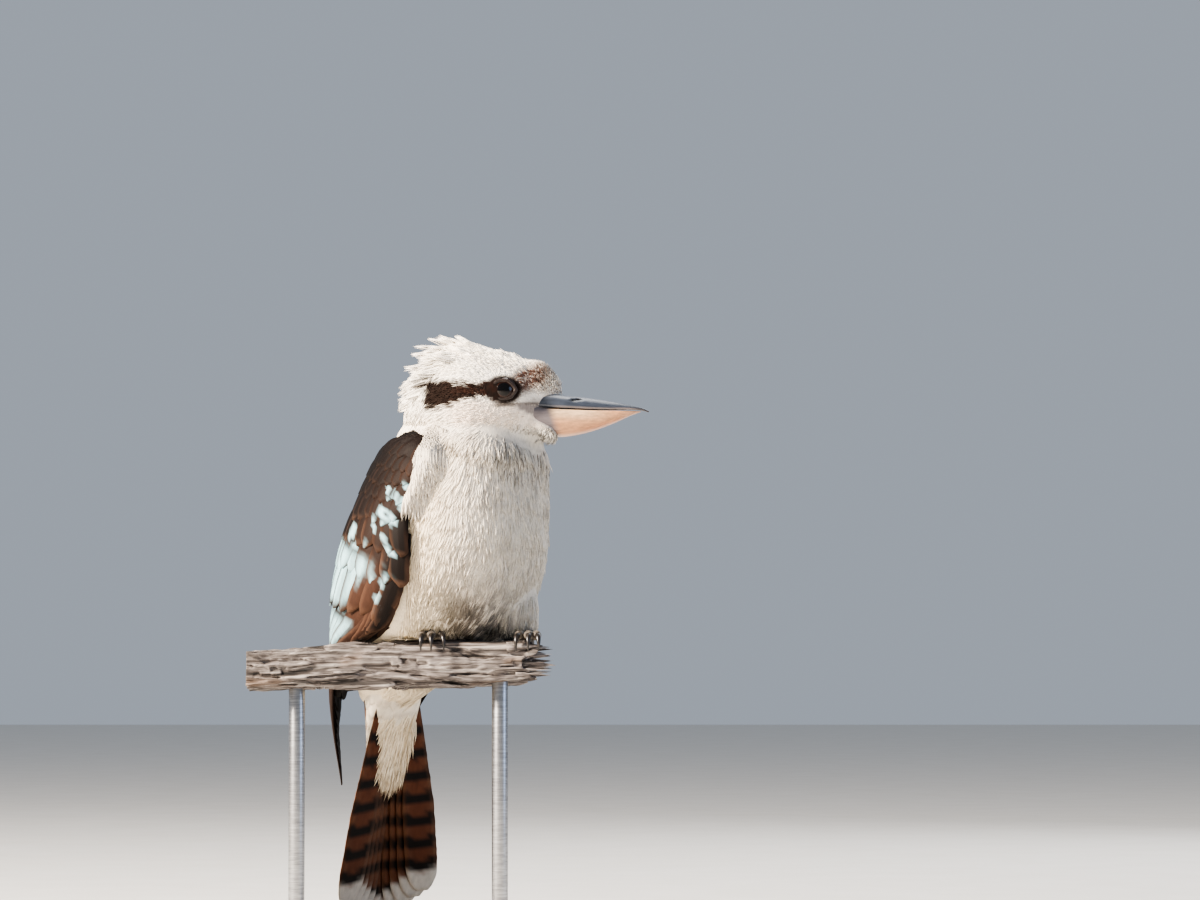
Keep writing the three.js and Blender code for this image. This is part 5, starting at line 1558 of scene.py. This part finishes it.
def wood_material():
    """Weathered hardwood, silver-grey from the sun, with dark checks along it and tan worn places."""
    material, tree, shader = new_material("weathered hardwood", Roughness=0.85, Specular_IOR_Level=0.3)
    # checks are 2 to 3 mm apart
    grain = object_noise(tree, 2.4, (15, 1, 1), 8.0, 0.62, 0.45)
    stops = [(0.28, "#1d1917"), (0.42, "#4a4441"), (0.54, tint("wood")), (0.68, "#b3aca6")]
    grey = add_node(tree, "ShaderNodeValToRGB", {"stops": stops}, {0: grain}).outputs["Color"]
    stops = [(0.3, "#33261d"), (0.5, "#7a6350"), (0.72, "#a48c74")]
    tan = add_node(tree, "ShaderNodeValToRGB", {"stops": stops}, {0: grain}).outputs["Color"]
    places = object_noise(tree, 20, (2.6, 1, 1), 3.0)
    span = {"From Min": 0.56, "From Max": 0.7, "To Max": 0.7}
    worn = add_node(tree, "ShaderNodeMapRange", span, {"Value": places}).outputs["Result"]
    mixed = add_node(tree, "ShaderNodeMix", {"data_type": "RGBA"}, {0: worn, 6: grey, 7: tan}).outputs[2]
    checks = object_noise(tree, 3.6, (18, 1, 1), 5.0, 0.55, 0.6)
    dark = shaded(tree, mixed, checks, 0.22, 1.0, (0.36, 0.45))
    tree.links.new(dark, shader.inputs["Base Color"])
    relief = {"Distance": 1.2 * MM, "Strength": 0.9}
    add_node(tree, "ShaderNodeBump", relief, {"Height": grain}, shader.inputs["Normal"])
    return material


def weathered(grid):
    """Furrows, cracks and hollows pressed into the branch, but shallow under the feet."""
    away = grid - grid.mean(1, keepdims=True)
    flat = grid.reshape(-1, 3)
    x, y, z = flat.T
    bent = flat + np.stack([0 * x, 2.2 * np.sin(x / 13 + z / 6), 2.2 * np.sin(x / 17 + y / 5)], -1)
    fine = ripple(bent * [0.12, 1, 1], 3.4, 71) + 0.7 * ripple(bent * [0.16, 1, 1], 2.0, 72)
    broad = ripple(bent * [0.22, 1, 1], 11, 75)
    cracks = smooth(0.36, 0.2, ripple(bent * [0.06, 1, 1], 5.5, 73))
    press = (fine - 0.85) * 1.15 + (broad - 0.6) * 1.9 - 2.4 * cracks
    calm = 1 - 0.72 * smooth(9, 3, np.abs(z - PERCH_TOP - 1)) * (np.abs(x - 22) < 46)
    length = np.linalg.norm(away, axis=-1, keepdims=True)
    press = (press * calm).reshape(*grid.shape[:2], 1) * smooth(0, 6, length)
    return grid + away / np.maximum(length, 1e-6) * press


def make_perch():
    """The cut branch, with splinters at its broken end."""
    material = wood_material()
    wood = build("branch", *rounded(weathered(branch_grid(0, *WOOD_STEPS))), material)
    outward(wood)

    dice = np.random.default_rng(74)
    places = [(*big, 0.0) for big in SPLINTERS]
    places += [[dice.uniform(*span) for span in SMALL_RANGES] for _ in range(SMALL_SPLINTERS)]
    y, z, long, wide, thick, tilt, swing = np.array(places).T[:, :, None, None]
    tilt, swing = np.radians(tilt), np.radians(swing)
    big = thick > 2.5
    start = BRANCH_X[1] - np.where(big, 12, 7)

    def at(u, v, face):
        taper = 1 - 0.95 * u ** 1.4
        x = long * u
        up = face * thick * taper * (1 - 0.5 * v * v) + 0.5 * np.sin(5 * v + 9 * u) * big * taper
        across = y + v * wide * taper * (1 + 0.12 * np.sin(u * 17 + y)) + x * np.sin(swing)
        high = PERCH_TOP + z - x * np.sin(tilt) + up * np.cos(tilt)
        return np.stack([start + x * np.cos(tilt) + up * np.sin(tilt), across, high], -1)

    def colours(u, v):
        return np.full((*u.shape, 3), 0.5)

    splinters = make_vanes("splinters", len(places), at, colours, material, "weathered_wood", (14, 6))
    wears(joined("perch_wood", [wood, splinters]), "weathered_wood", "perch")


# Stand

ROD_X = {"left": -79.0, "right": 34.0}
ROD_R = 4.5
BASE_SIZE = (210.0, 140.0, 14.0)
# How far the rods reach into the branch
ROD_INTO_WOOD = 7


def make_stand():
    """Two steel rods on a wooden board."""
    # Brushed steel: a lathe's fine rings, drawn 0.8 mm apart so that they show
    steel, tree, shader = new_material("brushed stainless steel", Metallic=1.0, Roughness=0.32)
    rings = object_noise(tree, 0.8, (8, 8, 1), 2.0)
    stops = [(0.3, "#8f9092"), (0.7, "#b9babc")]
    add_node(tree, "ShaderNodeValToRGB", {"stops": stops}, {0: rings}, shader.inputs["Base Color"])
    relief = {"Distance": 0.03 * MM, "Strength": 0.3}
    add_node(tree, "ShaderNodeBump", relief, {"Height": rings}, shader.inputs["Normal"])
    # Stained oak: open pores are 2 mm apart across the grain and drawn out along it
    oak, tree, shader = new_material(
        "dark stained oak", Roughness=0.42, Coat_Weight=0.25, Coat_Roughness=0.3)
    grain = object_noise(tree, 2.2, (22, 1, 1), 5.0, 0.55)
    stops = [(0.3, "#1c120c"), (0.5, tint("base")), (0.72, "#54402f")]
    add_node(tree, "ShaderNodeValToRGB", {"stops": stops}, {0: grain}, shader.inputs["Base Color"])
    relief = {"Distance": 0.15 * MM, "Strength": 0.5}
    add_node(tree, "ShaderNodeBump", relief, {"Height": grain}, shader.inputs["Normal"])
    low, high = BASE_SIZE[2], PERCH_TOP - BRANCH_THICK + ROD_INTO_WOOD
    for name, x in ROD_X.items():
        rod = primitive(
            f"rod_{name}", "cylinder", steel, vertices=64, radius=ROD_R * MM, depth=(high - low) * MM)
        modified(rod, "BEVEL", width=0.5 * MM, segments=3, limit_method="ANGLE")
        place = (np.array([x, (BRANCH_Y[0] + BRANCH_Y[1]) / 2, (low + high) / 2]) - BASE_MIDDLE) * MM
        rod.data.transform(Matrix.Translation(place))
        bpy.ops.object.shade_smooth_by_angle(angle=math.radians(35))
        wears(rod, "rod_steel", f"stand_rod_{name}")
    base = primitive("base_board", "cube", oak, size=1)
    size = np.array(BASE_SIZE) * MM
    base.data.transform(Matrix.Diagonal((*size, 1)))
    base.data.transform(Matrix.Translation((0, 0, size[2] / 2)))
    mesh = bmesh.new()
    mesh.from_mesh(base.data)
    upright = [edge for edge in mesh.edges if abs(edge.verts[0].co.z - edge.verts[1].co.z) > MM]
    bmesh.ops.bevel(mesh, geom=upright, offset=18 * MM, segments=14, profile=0.5, affect="EDGES")
    mesh.to_mesh(base.data)
    mesh.free()
    modified(base, "BEVEL", width=2 * MM, segments=5, limit_method="ANGLE", angle_limit=math.radians(60))
    bpy.ops.object.shade_smooth_by_angle(angle=math.radians(35))
    wears(base, "base_wood", "stand_base")


# Studio, in metres

FLOOR_SIZE = 16
# What the lights point at
LIT = Vector((0.0, 0.0, 0.26))
# Lights: name, place, width, watts and colour
LIGHTS = [
    ("key", (-2.0, -1.15, 1.35), 0.45, 315, "#fff0df"),
    ("fill", (2.3, -0.9, 0.7), 1.2, 13, "#b6cff7"),
    ("top", (0.1, 0.5, 1.9), 1.2, 22, "#f4f3f0"),
    ("back", (0.9, 1.6, 1.0), 1.2, 14, "#eef2f8"),
]
# The camera looks slightly up at a point beside the breast, in the model's millimetres
LOOKS_AT = np.array([89.6, 0.0, 296.4])
CAMERA_AWAY = 2.5
CAMERA_TILT = math.radians(-2.5)
CAMERA_LENS = 133.9


def make_studio():
    """A pale floor, one strong light from the sunny side, three weak ones, and the camera."""
    material, tree, shader = new_material("matt painted studio floor", Roughness=0.9)
    mottle = object_noise(tree, 60, (1, 1, 1), 3.0)
    stops = [(0.3, "#d9d6d0"), (0.7, "#dedbd6")]
    add_node(tree, "ShaderNodeValToRGB", {"stops": stops}, {0: mottle}, shader.inputs["Base Color"])
    floor = primitive("studio_floor", "plane", material, size=1)
    floor.data.transform(Matrix.Diagonal((FLOOR_SIZE, FLOOR_SIZE, 1, 1)))

    world = bpy.data.worlds.new("studio_air")
    bpy.context.scene.world = world
    world.use_nodes = True
    air = world.node_tree.nodes["Background"].inputs
    air["Color"].default_value = (*srgb("#d2dcea"), 1)
    air["Strength"].default_value = 0.5
    for name, place, size, watts, code in LIGHTS:
        data = bpy.data.lights.new(name, "AREA")
        data.shape = "DISK"
        data.size = size
        data.energy = watts
        data.color = srgb(code)
        light = bpy.data.objects.new(name, data)
        light.location = place
        light.rotation_euler = (LIT - Vector(place)).to_track_quat("-Z", "Y").to_euler()
        bpy.context.collection.objects.link(light)

    target = Vector((LOOKS_AT - BASE_MIDDLE) * MM)
    data = bpy.data.cameras.new("photo_camera")
    data.lens = CAMERA_LENS
    data.sensor_width = 36
    data.clip_start, data.clip_end = 0.05, 60
    camera = bpy.data.objects.new("photo_camera", data)
    back, up = math.cos(CAMERA_TILT), math.sin(CAMERA_TILT)
    camera.location = target + CAMERA_AWAY * Vector((0, -back, up))
    camera.rotation_euler = (target - camera.location).to_track_quat("-Z", "Y").to_euler()
    bpy.context.collection.objects.link(camera)
    bpy.context.scene.camera = camera
    bpy.context.scene.view_settings.look = "AgX - Medium High Contrast"


# Add-on


def colour(name, code, about):
    return FloatVectorProperty(
        name=name, description=about, default=srgb(code), size=3, min=0, max=1, subtype="COLOR")


class KookaburraSizes(bpy.types.PropertyGroup):
    coat_depth: FloatProperty(
        name="Coat depth", description="How far the skin lies under the feathers' surface",
        default=2.3 * MM, min=0.001, max=0.006, unit="LENGTH")
    coat_density: FloatProperty(
        name="Coat density", description="How many small feathers each place has, against the usual",
        default=1.0, min=0.1, max=2, subtype="FACTOR")
    crest_length: FloatProperty(
        name="Crest length", description="Length of the longest feathers of the crown",
        default=16 * MM, min=0.005, max=0.02, unit="LENGTH")


class KookaburraColours(bpy.types.PropertyGroup):
    white: colour("White plumage", "#f7f2e9", "Crown, nape and cheeks")
    breast: colour("Breast", "#e6dccd", "Breast and belly")
    mask: colour("Mask", "#29211e", "Stripe from the eye over the ear")
    wing_brown: colour("Wing brown", "#231712", "Most feathers of the wings")
    wing_blue: colour("Wing blue", "#a6d0da", "Pale tips and patches of the wings")
    tail_rufous: colour("Tail rufous", "#683c27", "Ground colour of the barred tail")
    upper_bill: colour("Upper bill", "#3a404b", "Dark horn")
    lower_bill: colour("Lower bill", "#d29a70", "Pale horn")
    iris: colour("Iris", "#351c10", "Ring round the pupil")
    feet: colour("Feet", "#575048", "Scaly skin of the feet")
    wood: colour("Perch", "#7f7773", "Weathered wood")
    base: colour("Base", "#3a281d", "Stained wood of the stand")


def plumage_material():
    return bpy.data.materials.get("contour feathers") or down_material()


def blade_material():
    return bpy.data.materials.get("vaned feathers") or vane_material()


class KOOKABURRA_OT_studio(bpy.types.Operator):
    """Floor, lights and camera"""
    bl_idname = "kookaburra.studio"
    bl_label = "Studio"

    def execute(self, context):
        make_studio()
        return {"FINISHED"}


class KOOKABURRA_OT_skin(bpy.types.Operator):
    """One skin for the head, neck and body"""
    bl_idname = "kookaburra.skin"
    bl_label = "Skin"

    def execute(self, context):
        make_skin(plumage_material())
        return {"FINISHED"}


class KOOKABURRA_OT_coat(bpy.types.Operator):
    """Small feathers all over the skin"""
    bl_idname = "kookaburra.coat"
    bl_label = "Coat"

    def execute(self, context):
        make_coat(plumage_material(), bpy.data.objects["skin"])
        return {"FINISHED"}


class KOOKABURRA_OT_crest(bpy.types.Operator):
    """Pointed locks of the crown and nape"""
    bl_idname = "kookaburra.crest"
    bl_label = "Crest"

    def execute(self, context):
        make_crest(plumage_material(), bpy.data.objects["skin"])
        return {"FINISHED"}


class KOOKABURRA_OT_shoulders(bpy.types.Operator):
    """Long feathers that lap over the folded wings"""
    bl_idname = "kookaburra.shoulders"
    bl_label = "Shoulder feathers"

    def execute(self, context):
        make_fringe(plumage_material(), bpy.data.objects["skin"])
        return {"FINISHED"}


class KOOKABURRA_OT_wings(bpy.types.Operator):
    """Rows of overlapping vanes on both wings"""
    bl_idname = "kookaburra.wings"
    bl_label = "Wings"

    def execute(self, context):
        for side in (-1, 1):
            make_wing(side, blade_material())
        return {"FINISHED"}


class KOOKABURRA_OT_mantle(bpy.types.Operator):
    """Feathers of the back between the wings"""
    bl_idname = "kookaburra.mantle"
    bl_label = "Mantle"

    def execute(self, context):
        make_mantle(blade_material())
        return {"FINISHED"}


class KOOKABURRA_OT_tail(bpy.types.Operator):
    """Tail feathers and their coverts"""
    bl_idname = "kookaburra.tail"
    bl_label = "Tail"

    def execute(self, context):
        make_tail(blade_material())
        return {"FINISHED"}


class KOOKABURRA_OT_bill(bpy.types.Operator):
    """Upper and lower bill"""
    bl_idname = "kookaburra.bill"
    bl_label = "Bill"

    def execute(self, context):
        make_bill()
        return {"FINISHED"}


class KOOKABURRA_OT_eyes(bpy.types.Operator):
    """Eyes and their lids"""
    bl_idname = "kookaburra.eyes"
    bl_label = "Eyes"

    def execute(self, context):
        make_eyes()
        return {"FINISHED"}


class KOOKABURRA_OT_feet(bpy.types.Operator):
    """Legs, toes and claws"""
    bl_idname = "kookaburra.feet"
    bl_label = "Feet"

    def execute(self, context):
        make_feet()
        return {"FINISHED"}


class KOOKABURRA_OT_perch(bpy.types.Operator):
    """Weathered branch"""
    bl_idname = "kookaburra.perch"
    bl_label = "Perch"

    def execute(self, context):
        make_perch()
        return {"FINISHED"}


class KOOKABURRA_OT_stand(bpy.types.Operator):
    """Rods and base"""
    bl_idname = "kookaburra.stand"
    bl_label = "Display stand"

    def execute(self, context):
        make_stand()
        return {"FINISHED"}


STEPS = [
    KOOKABURRA_OT_studio, KOOKABURRA_OT_skin, KOOKABURRA_OT_coat, KOOKABURRA_OT_crest,
    KOOKABURRA_OT_shoulders, KOOKABURRA_OT_wings, KOOKABURRA_OT_mantle, KOOKABURRA_OT_tail,
    KOOKABURRA_OT_bill, KOOKABURRA_OT_eyes, KOOKABURRA_OT_feet, KOOKABURRA_OT_perch,
    KOOKABURRA_OT_stand,
]


class KOOKABURRA_PT_panel(bpy.types.Panel):
    bl_idname = "KOOKABURRA_PT_panel"
    bl_label = "Kookaburra"
    bl_space_type = "VIEW_3D"
    bl_region_type = "UI"
    bl_category = "Kookaburra"

    def draw(self, context):
        for group in (context.scene.kookaburra_sizes, context.scene.kookaburra_colours):
            for name in group.__annotations__:
                self.layout.prop(group, name)
        for step in STEPS:
            self.layout.operator(step.bl_idname)


CLASSES = [KookaburraSizes, KookaburraColours, *STEPS, KOOKABURRA_PT_panel]


def register():
    for cls in CLASSES:
        bpy.utils.register_class(cls)
    bpy.types.Scene.kookaburra_sizes = PointerProperty(type=KookaburraSizes)
    bpy.types.Scene.kookaburra_colours = PointerProperty(type=KookaburraColours)


def unregister():
    del bpy.types.Scene.kookaburra_colours
    del bpy.types.Scene.kookaburra_sizes
    for cls in reversed(CLASSES):
        bpy.utils.unregister_class(cls)


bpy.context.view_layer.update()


def main():
    register()
    for step in STEPS:
        area, name = step.bl_idname.split(".")
        getattr(getattr(bpy.ops, area), name)()


if __name__ == "__main__":
    main()
